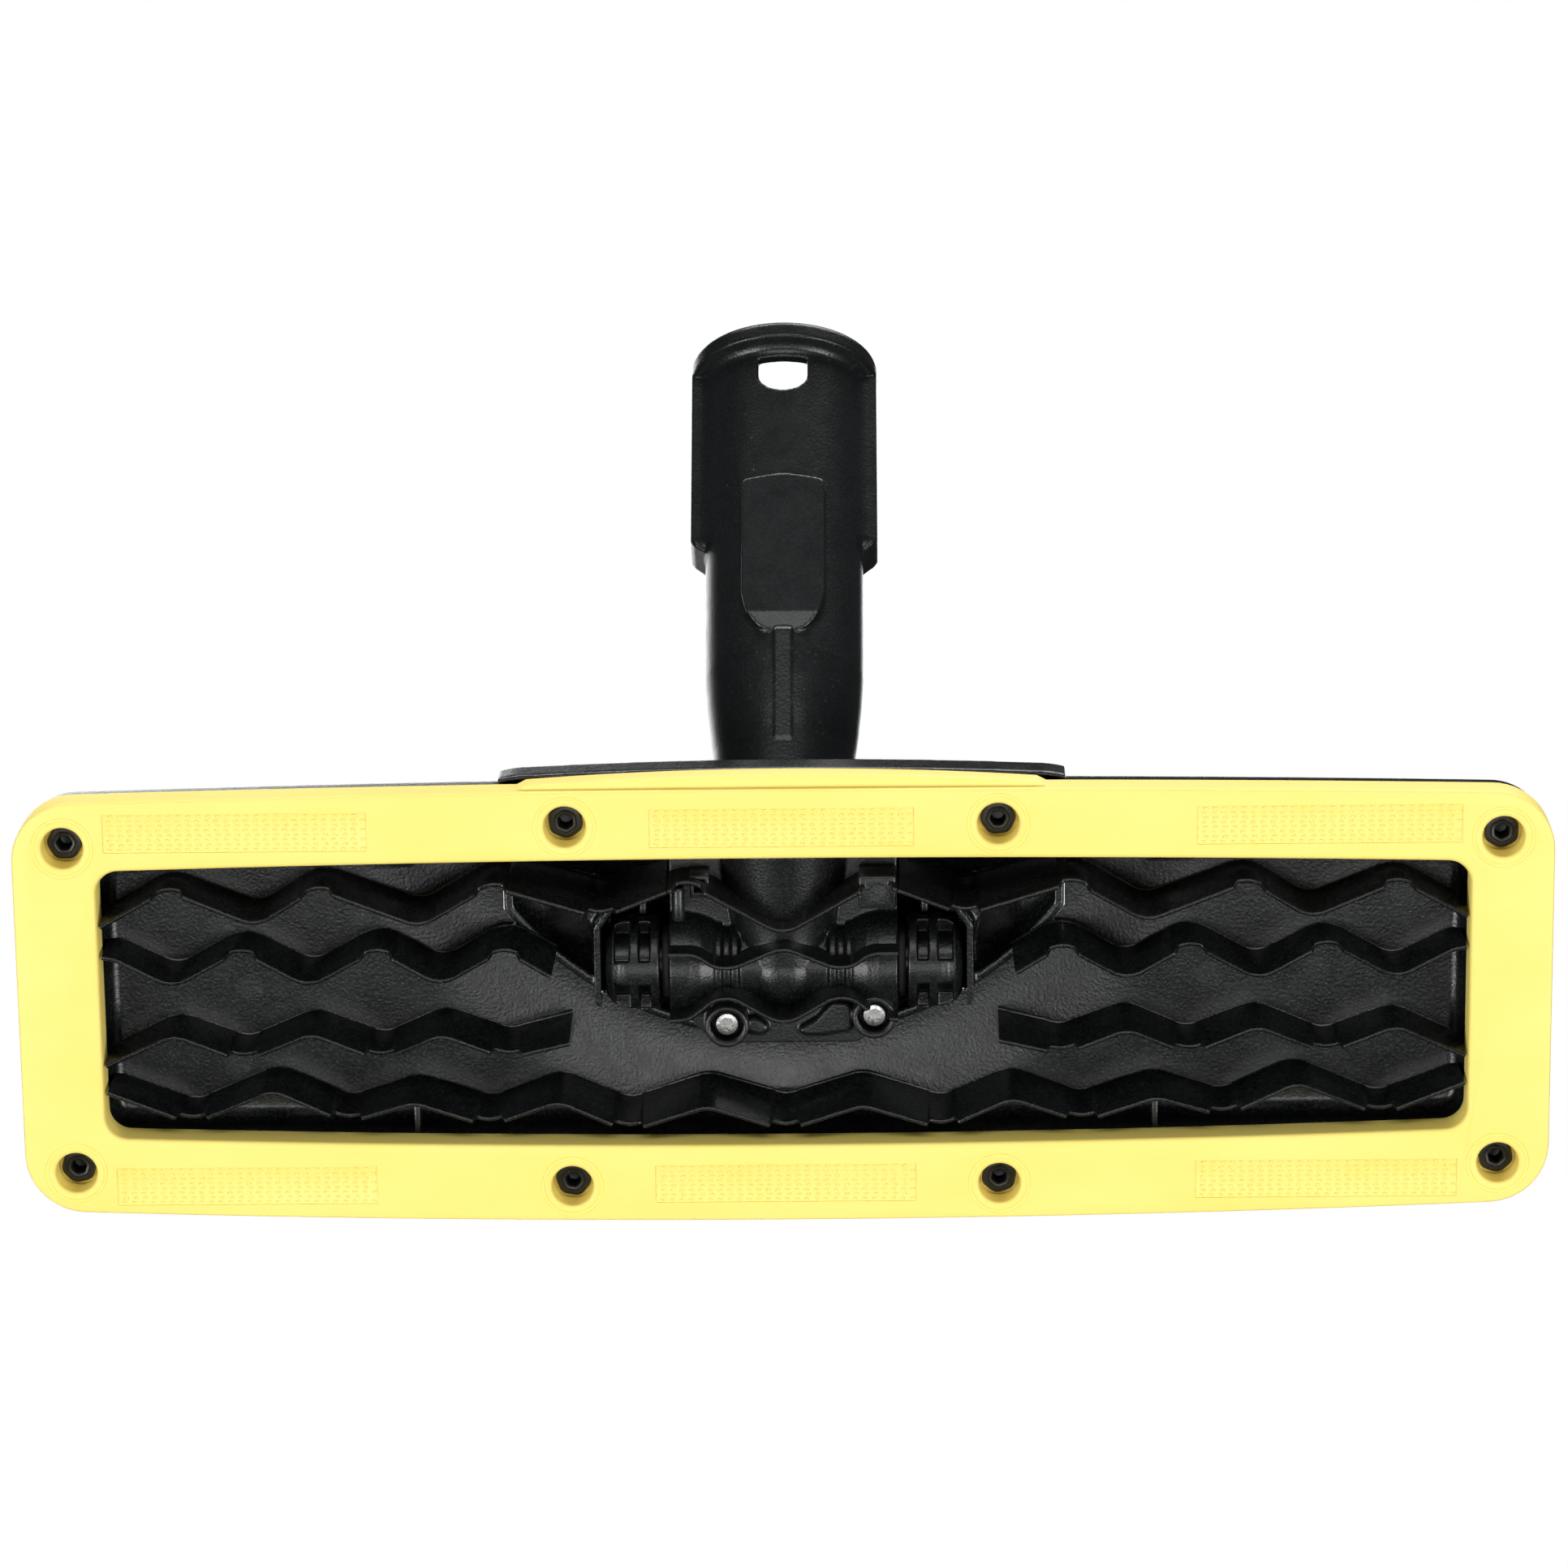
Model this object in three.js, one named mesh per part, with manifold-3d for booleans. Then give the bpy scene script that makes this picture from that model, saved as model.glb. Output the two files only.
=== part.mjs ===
// Floor cleaning head with a cloth frame and a two-axis tube neck, in millimetres, +Z up.
// The sole of the cloth frame lies on z = 0, the neck leans towards +Y, and the origin is the
// middle of the whole object's footprint. Inside "headOrigin" the head is modelled about its own middle.
import * as THREE from "three";
import { mergeVertices } from "three/addons/utils/BufferGeometryUtils.js";
import Module from "manifold-3d";

const wasm = await Module();
wasm.setup();

// ---- Driving dimensions ------------------------------------------------------------------------

const GAP = 0.3; // clearance between neighbouring pieces

// Cloth frame: a wide ring with gently bowed long edges.
const FRAME = { half: 150, front: -44.1, rear: 44, frontR: 3700, rearR: 6200, corner: 12 };
const FRAME_H = 7;
const BULGE = { half: 50, rear: 46.5, radius: 700 }; // the raised middle of the rear edge
const WINDOW = { half: 133.8, front: -28.5, rear: 30, frontR: 3800, rearR: 5500, corner: 4.5 };
const HOLE_X = [140, 42.1];
const HOLE_Y = [33.3, 36.8];
const COUNTERBORE = { radius: 4.05, depth: 5.7 };
const RIVET = { shank: 1.9, head: 3.5, face: 4.1, top: 9.2, dimple: 1.4 };
const HOOKS = { x: [0, 106.3], y: [36.2, 36.4], length: 51.5, width: 7.6, depth: 0.7 };

// Head body: a low shell on the frame, roofed, with wavy lamellae hanging inside it.
const BODY = { half: 149, front: -43.1, rear: 43.5, frontR: 3700, rearR: 6200, corner: 11 };
const BODY_BASE = FRAME_H + GAP;
const EDGE_Z = 10.5; // where the body's side turns into its shoulder
const ROOF_END = 12.5; // height of the inner roof at the ends of the window
const ROOF_MIDDLE = 20;
const SKIN = 2.4;
const LAMELLA = { thick: 1.5, edge: 0.6, bend: 2.6 };
const NOTCH = { half: 2.6, top: 4 }; // drain notches in the lamellae' free edges

// Turning points of the lamellae [x, y] for x > 0, mirrored to x < 0, from the rear row to the front.
const ROW_REAR = [[0, 14.3], [18.4, 24.8], [35.5, 18.1], [57, 24.6], [70.9, 16.6], [91, 24.4], [102.9, 17],
  [120.2, 24.3], [133.3, 17]];
const ROW_UPPER = [[45.5, 6.2], [54.6, 11.7], [67.2, 4.6], [79.6, 11.8], [93, 4.5], [106.3, 11.9],
  [119.7, 4.6], [130.8, 10.4], [133.3, 10.8]];
const ROW_LOWER = [[42, -7.6], [54.6, -10.5], [67.3, -5.6], [79.4, -10.7], [92.8, -5.2], [106.3, -10.7],
  [119.9, -5.3], [133.3, -11.5]];
const ROW_FRONT = [[0, -25.7], [15.3, -20.8], [31, -25.7], [44.5, -19.6], [58.4, -24.4], [73, -19.6],
  [86.5, -23.5], [100.6, -16.8], [117, -23.5], [133.3, -17]];
const CAP_UPPER = [[0, 11.8], [9.5, 7.7], [13.3, 7.6], [17, 10.4], [22.4, 10.4]];
const CAP_LOWER = [[0, -4.3], [9.7, 1.4], [13.5, 1.3], [18.6, -2.9], [22.4, -3.1]];

// The turns whose free edge has a drain notch.
const NOTCHES = [
  ...[1, 2, 3, 5, 7].map((turn) => ROW_REAR[turn]),
  ...[1, 3, 5].map((turn) => ROW_UPPER[turn]),
  ...[1, 3, 5].map((turn) => ROW_LOWER[turn]),
  ...[0, 2, 4, 6, 8].map((turn) => ROW_FRONT[turn]),
];
const GUSSET_X = 73;

// Hump cover: a D-shaped dome over the joint, whose flat side is the bar at the rear.
const COVER = { radius: 70, centre: 57.4, half: 55.4, base: 10.4, lip: 18.6, top: 29, rearZ: 15.6 };
const COVER_REAR = { y: 46.4, radius: 1100 };
const COVER_SKIN = 2;
const APRON = { low: FRAME_H + GAP, thick: 0.9 }; // the bar's lip behind the body's rear edge
const SLOT = { half: 14, front: -5, rear: 39.5 };
const SPLIT_Z = 14.7; // the cap closes the joint from below up to this height

// Joint: a hollow cross-barrel in two bushes tilts the neck, and a pin through the neck swings it.
const PIVOT = { y: 5, z: 15 };
const NECK_REST = 43; // degrees between the neck and the floor
const BARREL = { radius: 6.8, half: 22 };
const TRUNNION = { radius: 5, half: 33.5, bore: 2.5 };
const BUSH = { radius: 9.3, inner: 24.4, outer: 35.2 };
const PIN_S = 32; // distance of the swing pin from the tilt axis, along the neck
const PIN = { radius: 4.5, half: 12.2, bore: 2 };
const LUG = { half: 9, tip: 11, thick: 5.4, bore: 2.2 };
const SADDLE = { radius: 13.3, z: 16.5, wall: 2, rear: 29.5 };
const SHELF = { from: 11.4, to: 22.4, z: 12.7 }; // closes the cover's slot beside the saddle
const SCREWS = { left: [11.3, -5.7], right: [-17.7, -4.1] };
const BOSS = { radius: 4.27, bottom: 5, seat: 9.2, bore: 3.2, hole: 1.8 };

// Neck tube, along its own axis from the tilt axis outwards.
const NECK = { mouth: 136.6, bore: 13.8, floor: 70, body: 16.2, collar: 19.2, cheek: 6.5 };
const SPIGOT = { radius: 5, bore: 2.6, tip: 100, groove: [94, 97], grooveR: 3.9, flange: 8.5 };

const ORIGIN_Y = 37; // the middle of the whole footprint, neck included, behind the head's own middle

// ---- Solids from three.js geometries -----------------------------------------------------------

// A closed geometry as a manifold-3d solid.
function solid(geometry) {
  const plain = geometry.index ? geometry.toNonIndexed() : geometry.clone();
  plain.deleteAttribute("normal");
  plain.deleteAttribute("uv");
  const merged = mergeVertices(plain, 1e-4);
  const corners = [...merged.index.array];
  const kept = [];
  for (let i = 0; i < corners.length; i += 3) {
    const [a, b, c] = corners.slice(i, i + 3);
    if (a !== b && b !== c && c !== a) kept.push(a, b, c);
  }
  const mesh = new wasm.Mesh({
    numProp: 3,
    vertProperties: merged.attributes.position.array,
    triVerts: new Uint32Array(kept),
  });
  return new wasm.Manifold(mesh);
}

const join = (...solids) => solids.reduce((whole, next) => whole.add(next));
const cut = (whole, ...tools) => tools.reduce((rest, tool) => rest.subtract(tool), whole);
const common = (a, b) => a.intersect(b);

// A cylinder along an axis; "at" holds its two other coordinates in X, Y, Z order.
function rod(axis, radius, from, to, at = [0, 0], sides = 20) {
  const g = new THREE.CylinderGeometry(radius, radius, to - from, sides);
  g.translate(0, (from + to) / 2, 0);
  if (axis === "x") g.rotateZ(-Math.PI / 2).translate(0, at[0], at[1]);
  if (axis === "y") g.translate(at[0], 0, at[1]);
  if (axis === "z") g.rotateX(Math.PI / 2).translate(at[0], at[1], 0);
  return solid(g);
}

function box([x0, x1], [y0, y1], [z0, z1]) {
  const g = new THREE.BoxGeometry(x1 - x0, y1 - y0, z1 - z0);
  return solid(g.translate((x0 + x1) / 2, (y0 + y1) / 2, (z0 + z1) / 2));
}

// An outline of [x, y] points raised from z0 to z1.
function prism(points, z0, z1) {
  const shape = new THREE.Shape(points.map(([x, y]) => new THREE.Vector2(x, y)));
  const g = new THREE.ExtrudeGeometry(shape, { depth: z1 - z0, bevelEnabled: false });
  return solid(g.translate(0, 0, z0));
}

// An outline of [y, z] points drawn out along X.
function prismX(points, x0, x1) {
  const shape = new THREE.Shape(points.map(([y, z]) => new THREE.Vector2(y, z)));
  const g = new THREE.ExtrudeGeometry(shape, { depth: x1 - x0, bevelEnabled: false });
  const turn = new THREE.Matrix4().makeBasis(
    new THREE.Vector3(0, 1, 0),
    new THREE.Vector3(0, 0, 1),
    new THREE.Vector3(1, 0, 0),
  );
  return solid(g.applyMatrix4(turn).translate(x0, 0, 0));
}

// An outline of [x, z] points drawn out along Y.
function prismY(points, y0, y1) {
  const shape = new THREE.Shape(points.map(([x, z]) => new THREE.Vector2(x, z)));
  const g = new THREE.ExtrudeGeometry(shape, { depth: y1 - y0, bevelEnabled: false });
  return solid(g.rotateX(Math.PI / 2).translate(0, y1, 0));
}

// A profile of [radius, z] points turned about Z.
function turned(profile, sides = 32) {
  const g = new THREE.LatheGeometry(profile.map(([r, z]) => new THREE.Vector2(r, z)), sides);
  return solid(g.rotateX(Math.PI / 2));
}

// A skin over rings of [y, z] points, counter-clockwise seen from +X, one ring at each x.
function loft(stations) {
  const count = stations[0].ring.length;
  const position = stations.flatMap(({ x, ring }) => ring.flatMap(([y, z]) => [x, y, z]));
  const faces = [];
  for (let i = 0; i + 1 < stations.length; i++) {
    for (let j = 0; j < count; j++) {
      const a = i * count + j;
      const b = i * count + ((j + 1) % count);
      faces.push(a, b, b + count, a, b + count, a + count);
    }
  }
  const last = (stations.length - 1) * count;
  const endCap = (base, ring, flip) => {
    const flat = ring.map(([y, z]) => new THREE.Vector2(y, z));
    for (const [a, b, c] of THREE.ShapeUtils.triangulateShape(flat, [])) {
      faces.push(...(flip ? [base + c, base + b, base + a] : [base + a, base + b, base + c]));
    }
  };
  endCap(0, stations[0].ring, true);
  endCap(last, stations[stations.length - 1].ring, false);
  const g = new THREE.BufferGeometry();
  g.setAttribute("position", new THREE.Float32BufferAttribute(position, 3));
  g.setIndex(faces);
  return solid(g);
}

// ---- Outlines ----------------------------------------------------------------------------------

const sag = (x, radius) => (x * x) / (2 * radius);
const mirrored = (points) => [...points.filter(([x]) => x > 0).reverse().map(([x, y]) => [-x, y]), ...points];
const SIDES = [1, -1];

// Front and rear y of a bowed outline at x, grown outwards by "grow".
function edgesAt(plan, x, grow = 0) {
  const reach = plan.half + grow - (plan.corner + grow);
  const past = Math.max(0, Math.abs(x) - reach);
  const radius = Math.max(plan.corner + grow, 0.5);
  const lost = radius - Math.sqrt(Math.max(0, radius ** 2 - past ** 2));
  const bowAt = Math.min(Math.abs(x), reach);
  return {
    front: plan.front - grow + sag(bowAt, plan.frontR) + lost,
    rear: plan.rear + grow - sag(bowAt, plan.rearR) - lost,
  };
}

// Stations in x: even along the middle, closer round the corners.
function stationsOf(plan, grow = 0, steps = 7) {
  const reach = plan.half - plan.corner;
  const radius = Math.max(plan.corner + grow, 0.5);
  const xs = [];
  for (let i = 0; i < steps; i++) xs.push((reach * i) / steps);
  for (let i = 0; i <= 4; i++) xs.push(reach + radius * Math.sin((i / 4) * (Math.PI / 2) * 0.98));
  return [...xs.slice(1).reverse().map((x) => -x), ...xs];
}

// The bowed outline as points, counter-clockwise, with an optional change of its rear edge.
function outline(plan, grow = 0, rearOf = (x, y) => y) {
  const xs = stationsOf(plan, grow);
  const front = xs.map((x) => [x, edgesAt(plan, x, grow).front]);
  const rear = xs.map((x) => [x, rearOf(x, edgesAt(plan, x, grow).rear)]);
  return [...front, ...rear.reverse()];
}

// Blunts each inner bend of a zigzag, as the short flat crests of the waves are.
function blunted(points, bend = LAMELLA.bend) {
  const at = points.map(([x, y]) => new THREE.Vector2(x, y));
  const out = [at[0]];
  for (let i = 1; i + 1 < at.length; i++) {
    const toward = (other) => {
      const step = other.clone().sub(at[i]);
      return at[i].clone().add(step.setLength(Math.min(bend, step.length() * 0.45)));
    };
    out.push(toward(at[i - 1]), toward(at[i + 1]));
  }
  return [...out, at[at.length - 1]];
}

// A ribbon of even thickness along a zigzag, as an outline.
function ribbon(points, thick = LAMELLA.thick) {
  const line = blunted(points);
  const side = (sign) =>
    line.map((p, i) => {
      const before = line[Math.max(0, i - 1)];
      const after = line[Math.min(line.length - 1, i + 1)];
      const normal = after.clone().sub(before).normalize();
      return [p.x - sign * normal.y * (thick / 2), p.y + sign * normal.x * (thick / 2)];
    });
  return [...side(-1), ...side(1).reverse()];
}

const lamella = (points, top) => prism(ribbon(points), LAMELLA.edge, top);

const drainNotches = () =>
  NOTCHES.flatMap(([x, y]) =>
    (x === 0 ? [0] : [x, -x]).map((at) =>
      box([at - NOTCH.half, at + NOTCH.half], [y - 2.5, y + 2.5], [-1, NOTCH.top]),
    ),
  );

const RIVETS = SIDES.flatMap((x) => SIDES.flatMap((y) => [0, 1].map((i) => [x * HOLE_X[i], y * HOLE_Y[i]])));

// ---- Cloth frame and its rivets ----------------------------------------------------------------

function clothFrame() {
  const bulge = (x, y) => (Math.abs(x) < BULGE.half ? BULGE.rear - sag(x, BULGE.radius) : y);
  const plate = prism(outline(FRAME, 0, bulge), 0, FRAME_H);
  const wall = 1.9;
  const face = 2.6;
  const groove = cut(
    prism(outline(FRAME, -wall), face, FRAME_H + 1),
    prism(outline(WINDOW, wall), 0, FRAME_H + 2),
    ...RIVETS.map((at) => rod("z", COUNTERBORE.radius + wall, 0, FRAME_H + 2, at, 14)),
  );
  const hooks = SIDES.flatMap((end) =>
    [0, end * HOOKS.x[1], -end * HOOKS.x[1]].map((x) => {
      const y = end * HOOKS.y[x === 0 ? 1 : 0];
      const along = [x - HOOKS.length / 2, x + HOOKS.length / 2];
      return box(along, [y - HOOKS.width / 2, y + HOOKS.width / 2], [-1, HOOKS.depth]);
    }),
  );
  return cut(
    plate,
    prism(outline(WINDOW), -1, FRAME_H + 1),
    groove,
    ...RIVETS.map((at) => rod("z", COUNTERBORE.radius, -1, COUNTERBORE.depth, at, 18)),
    ...RIVETS.map((at) => rod("z", RIVET.shank + GAP, 0, FRAME_H + 1, at, 10)),
    ...hooks,
  );
}

function frameRivet() {
  const headTop = COUNTERBORE.depth - GAP;
  const { shank, head, face, top, dimple } = RIVET;
  return turned([[0, face + 0.9], [dimple, face + 0.9], [dimple, face], [head, face], [head, headTop],
    [shank, headTop], [shank, top], [0, top]], 10);
}

// ---- Head body ---------------------------------------------------------------------------------

const roofZ = (x) => {
  const share = Math.min(1, Math.abs(x) / WINDOW.half);
  return ROOF_MIDDLE - (ROOF_MIDDLE - ROOF_END) * share ** 1.25;
};

// The body's outer form: an upright edge, then a rounded shoulder up to the top, shrunk by "inset".
function bodyForm(inset, base) {
  const shoulder = { front: 12, rear: 14 };
  return loft(
    stationsOf(BODY).map((fullX) => {
      const x = fullX * ((BODY.half - inset) / BODY.half);
      const { front, rear } = edgesAt(BODY, x, -inset);
      const end = THREE.MathUtils.clamp((BODY.half - inset - Math.abs(x)) / 14, 0, 1);
      const rise = (roofZ(x) + SKIN - EDGE_Z) * Math.sqrt(1 - (1 - end) ** 2) - inset;
      const top = EDGE_Z + Math.max(0.6, rise);
      const half = (rear - front) / 2;
      const arc = (depth) =>
        [0, 1, 2, 3].map((i) => {
          const turn = (i / 3) * (Math.PI / 2);
          const inward = Math.min(depth, half * 0.96) * (1 - Math.cos(turn));
          return [inward, EDGE_Z + (top - EDGE_Z) * Math.sin(turn)];
        });
      const rearSide = arc(shoulder.rear).map(([inward, z]) => [rear - inward, z]);
      const frontSide = arc(shoulder.front).map(([inward, z]) => [front + inward, z]);
      return { x, ring: [[front, base], [rear, base], ...rearSide, ...frontSide.reverse()] };
    }),
  );
}

// The room inside the window, from its lower edge up to the roof.
function bodyCavity(grow = 0, rise = 0) {
  return loft(
    stationsOf(WINDOW, grow, 6).map((x) => {
      const { front, rear } = edgesAt(WINDOW, x, grow);
      const roof = roofZ(x) + rise;
      const round = Math.min(2, (rear - front) / 4);
      const ring = [[front, BODY_BASE - 2], [rear, BODY_BASE - 2], [rear, roof - 2], [rear - round, roof],
        [front + round, roof], [front, roof - 2]];
      return { x, ring };
    }),
  );
}

const humpBore = (radius, from, half) =>
  common(
    rod("z", radius, from, COVER.top + 20, [0, COVER.centre], 72),
    box([-half, half], [-80, 80], [0, COVER.top + 30]),
  );

function lamellae(rows) {
  return rows.flatMap((row) => (row[0][0] === 0 ? [mirrored(row)] : [row, row.map(([x, y]) => [-x, y])]));
}

function headBody() {
  const form = bodyForm(0, BODY_BASE);
  const pocket = cut(
    bodyForm(2.2, BODY_BASE - 2),
    bodyCavity(2, SKIN + 20),
    ...RIVETS.map((at) => rod("z", 5, 0, 40, at, 8)),
    box([-COVER.half - 2, COVER.half + 2], [WINDOW.rear, BODY.rear + 5], [0, 40]),
  );
  const shell = cut(form, bodyCavity(), pocket);
  const ribs = (...rows) => lamellae(rows).map((row) => lamella(row, ROOF_MIDDLE + 2));
  const gussets = SIDES.map((side) =>
    box([side * GUSSET_X - 0.6, side * GUSSET_X + 0.6], [-30, -20], [9, ROOF_MIDDLE]),
  );
  const below = box([-160, 160], [-60, 60], [-1, BODY_BASE + 1]);
  const ribRoom = join(form, below);
  const bored = cut(
    join(shell, common(join(...ribs(ROW_REAR, ROW_FRONT), ...gussets), ribRoom)),
    humpBore(COVER.radius + 0.4, COVER.base - GAP, COVER.half + 0.4),
    humpBore(COVER.radius + 0.4, -5, COVER.half + 0.4).subtract(
      box([-80, 80], [WINDOW.rear + 0.4, 80], [-10, COVER.base + 1]),
    ),
  );
  // The two middle rows end a little way under the hump cover.
  const middle = cut(
    common(join(...ribs(ROW_UPPER, ROW_LOWER)), ribRoom),
    humpBore(COVER.radius + 0.4, COVER.lip - GAP, COVER.half + 0.4),
  );
  return cut(
    join(bored, middle),
    ...RIVETS.map((at) => rod("z", RIVET.shank + GAP, 0, RIVET.top + GAP, at, 10)),
    ...drainNotches(),
  );
}

// ---- Hump cover --------------------------------------------------------------------------------

// The cover's outer form, or the room inside it when "skin" is above 0.
function coverForm(skin) {
  const half = COVER.half - skin;
  const steps = 9;
  const stations = [];
  for (let i = -steps; i <= steps; i++) {
    const x = (half * i) / steps;
    const front = COVER.centre - Math.sqrt((COVER.radius - skin) ** 2 - x * x);
    const corner = 0.15 * Math.max(0, Math.abs(x) - 52.3);
    const rear = COVER_REAR.y - skin - sag(x, COVER_REAR.radius) - corner;
    const edge = Math.max(roofZ(x) + SKIN + 0.8, COVER.rearZ);
    const peak = edge + (COVER.top - edge) * Math.sqrt(Math.max(0, 1 - (x / (COVER.half + 2)) ** 2));
    const ridge = THREE.MathUtils.lerp(front, rear, 0.32);
    const top = [];
    for (let k = 0; k <= 5; k++) {
      const y = THREE.MathUtils.lerp(rear, ridge, k / 5);
      const share = 0.5 - 0.5 * Math.cos((k / 5) * Math.PI);
      top.push([y, THREE.MathUtils.lerp(COVER.rearZ, peak, share) - skin]);
    }
    for (let k = 1; k <= 4; k++) {
      const turn = (k / 4) * (Math.PI / 2);
      const y = THREE.MathUtils.lerp(ridge, front, Math.sin(turn));
      top.push([y, THREE.MathUtils.lerp(edge, peak, Math.cos(turn)) - skin]);
    }
    const step = Math.max(WINDOW.rear + 0.6 + skin, front + 1);
    const drop = skin ? 6 : 0;
    const apron = skin ? [] : [[rear - APRON.thick, COVER.base], [rear - APRON.thick, APRON.low]];
    const ring = [[front, COVER.lip - drop], [step, COVER.lip - drop], [step, COVER.base - drop], ...apron,
      [rear, skin ? COVER.base - drop : APRON.low], ...top];
    stations.push({ x, ring });
  }
  return loft(stations);
}

// Room kept free round the cross-barrel and its bushes.
const jointRoom = () =>
  join(
    rod("x", BARREL.radius + 0.6, -24, 24, [PIVOT.y, PIVOT.z], 28),
    ...SIDES.map((side) => {
      const ends = [side * 23.9, side * (BUSH.outer + 0.3)].sort((a, b) => a - b);
      return rod("x", BUSH.radius + GAP, ...ends, [PIVOT.y, PIVOT.z], 28);
    }),
  );

const screwPosts = (radius, from, to, sides = 14) =>
  Object.values(SCREWS).map((at) => rod("z", radius, from, to, at, sides));

function humpCover() {
  const form = coverForm(0);
  const shell = cut(form, coverForm(COVER_SKIN));
  const capReach = 22.7;
  const ribs = cut(lamella(mirrored(ROW_REAR), 40), box([-capReach, capReach], [-80, 80], [-5, 60]));
  const endWalls = SIDES.map((side) => {
    const ends = [side * 36, side * 37.6].sort((a, b) => a - b);
    return box(ends, [-7, 18], [8, 40]);
  });
  const cradles = SIDES.flatMap((side) =>
    [27, 32.4].map((x) => {
      const ends = [side * x, side * (x + 1.6)].sort((a, b) => a - b);
      return box(ends, [-5.5, 18], [SPLIT_Z + GAP, 40]);
    }),
  );
  const lowered = join(form, box([-60, 60], [-60, WINDOW.rear - 0.6], [-5, COVER.lip + 1]));
  const hanging = join(ribs, ...endWalls, ...cradles, ...screwPosts(3.2, SPLIT_Z + GAP, 40));
  const inner = common(common(hanging, lowered), humpBore(COVER.radius - 0.1, -5, COVER.half));
  return cut(
    join(shell, inner),
    jointRoom(),
    box([-SLOT.half, SLOT.half], [SLOT.front + 4, SLOT.rear], [COVER.base - 3, 60]),
    box([-SLOT.half + 4, SLOT.half - 4], [SLOT.front, SLOT.rear], [COVER.base - 3, 60]),
    ...screwPosts(BOSS.hole, 10, 24.5, 10),
    ...drainNotches(),
  );
}

// ---- Cap under the joint and its screws --------------------------------------------------------

function jointCap() {
  const saddleForm = (radius, from, to) =>
    join(
      rod("y", radius, from, to, [0, SADDLE.z], 28),
      solid(new THREE.SphereGeometry(radius, 28, 14).translate(0, PIVOT.y, SADDLE.z)),
    );
  const arms = join(
    rod("x", 9.2, -22.4, 22.4, [PIVOT.y, PIVOT.z], 28),
    ...SIDES.map((side) => {
      const ends = [side * 15, side * 22.4].sort((a, b) => a - b);
      return rod("x", 11.2, ...ends, [PIVOT.y, PIVOT.z], 28);
    }),
  );
  const plate = prism([[-22.4, -6], [-14, -10.6], [12, -10.6], [18, -7], [18, 3], [-22.4, 3]], 10, 12.6);
  const ribs = [
    lamella(mirrored(ROW_REAR), 13),
    lamella(mirrored(CAP_UPPER), 12),
    lamella(mirrored(CAP_LOWER), 12),
  ];
  const shelves = SIDES.map((side) => {
    const ends = [side * SHELF.from, side * SHELF.to].sort((a, b) => a - b);
    return box(ends, [PIVOT.y, SADDLE.rear], [SHELF.z, SPLIT_Z]);
  });
  const crests = [
    box([-22.2, -14.8], [18.6, 25.2], [NOTCH.top, 13]),
    box([14.4, 18.2], [20.4, 25], [6.5, 13]),
    rod("z", 1.3, 4.2, 13, [20.3, 20.6], 12),
  ];
  const posts = screwPosts(BOSS.radius, BOSS.bottom, 13.3, 18);
  const saddle = saddleForm(SADDLE.radius, PIVOT.y, SADDLE.rear);
  const whole = join(saddle, arms, plate, ...ribs, ...shelves, ...crests, ...posts);
  const kept = common(whole, box([-22.4, 22.4], [-40, SADDLE.rear], [-5, SPLIT_Z]));
  return cut(
    kept,
    saddleForm(SADDLE.radius - SADDLE.wall, PIVOT.y, SADDLE.rear + 1),
    jointRoom(),
    ...screwPosts(BOSS.bore, 0, BOSS.seat, 16),
    ...screwPosts(BOSS.hole, 0, 20, 10),
    ...drainNotches(),
  );
}

function capScrew() {
  const head = 2.6;
  const bottom = BOSS.seat - GAP - 2.1;
  const body = turned([[0, bottom], [head - 0.5, bottom], [head, bottom + 0.5], [head, BOSS.seat - GAP],
    [1.5, BOSS.seat - GAP], [1.5, 23.5], [0, 23.5]], 14);
  const lobes = [0, 60, 120].map((degrees) => {
    const g = new THREE.BoxGeometry(2.5, 0.75, 1.3).rotateZ(THREE.MathUtils.degToRad(degrees));
    return solid(g.translate(0, 0, bottom + 0.4));
  });
  return cut(body, join(...lobes));
}

// ---- Joint pieces ------------------------------------------------------------------------------

// One cored bush: a sleeve with three discs and ribs between them, on the +X side about the X axis.
function trunnionBush() {
  const { inner } = BUSH;
  const sleeve = rod("x", 6.3, inner, BUSH.outer);
  const discs = [[inner, inner + 1.8], [28.9, 30.4], [33.9, BUSH.outer]].map(([from, to]) =>
    rod("x", from > 33 ? BUSH.radius - 0.8 : BUSH.radius, from, to));
  const ribs = [0, 60, 120].map((degrees) => {
    const g = new THREE.BoxGeometry(BUSH.outer - inner - 1, 2 * BUSH.radius - 1.2, 1.4);
    g.translate((inner + BUSH.outer) / 2, 0, 0).rotateX(THREE.MathUtils.degToRad(degrees));
    return solid(g);
  });
  return cut(join(sleeve, ...discs, ...ribs), rod("x", TRUNNION.radius + GAP, 0, 60));
}

const trunnionSeal = () => solid(new THREE.TorusGeometry(6.5, 0.8, 6, 18).rotateY(Math.PI / 2));

// The knuckle in the neck's own frame: X across, Z along the neck, Y towards the floor.
function knuckle() {
  const barrel = join(
    rod("x", BARREL.radius, -BARREL.half, BARREL.half, [0, 0], 28),
    rod("x", TRUNNION.radius, -TRUNNION.half, TRUNNION.half),
  );
  const stem = box([-LUG.half, LUG.half], [-LUG.thick, LUG.thick], [0, PIN_S]);
  const lug = rod("y", LUG.tip, -LUG.thick, LUG.thick, [0, PIN_S], 28);
  return cut(
    join(barrel, stem, lug),
    rod("y", PIN.radius + GAP, -20, 20, [0, PIN_S]),
    rod("x", TRUNNION.bore, -60, 60, [0, 0], 12),
    rod("z", LUG.bore, 0, 60, [0, 0], 12),
  );
}

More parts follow.
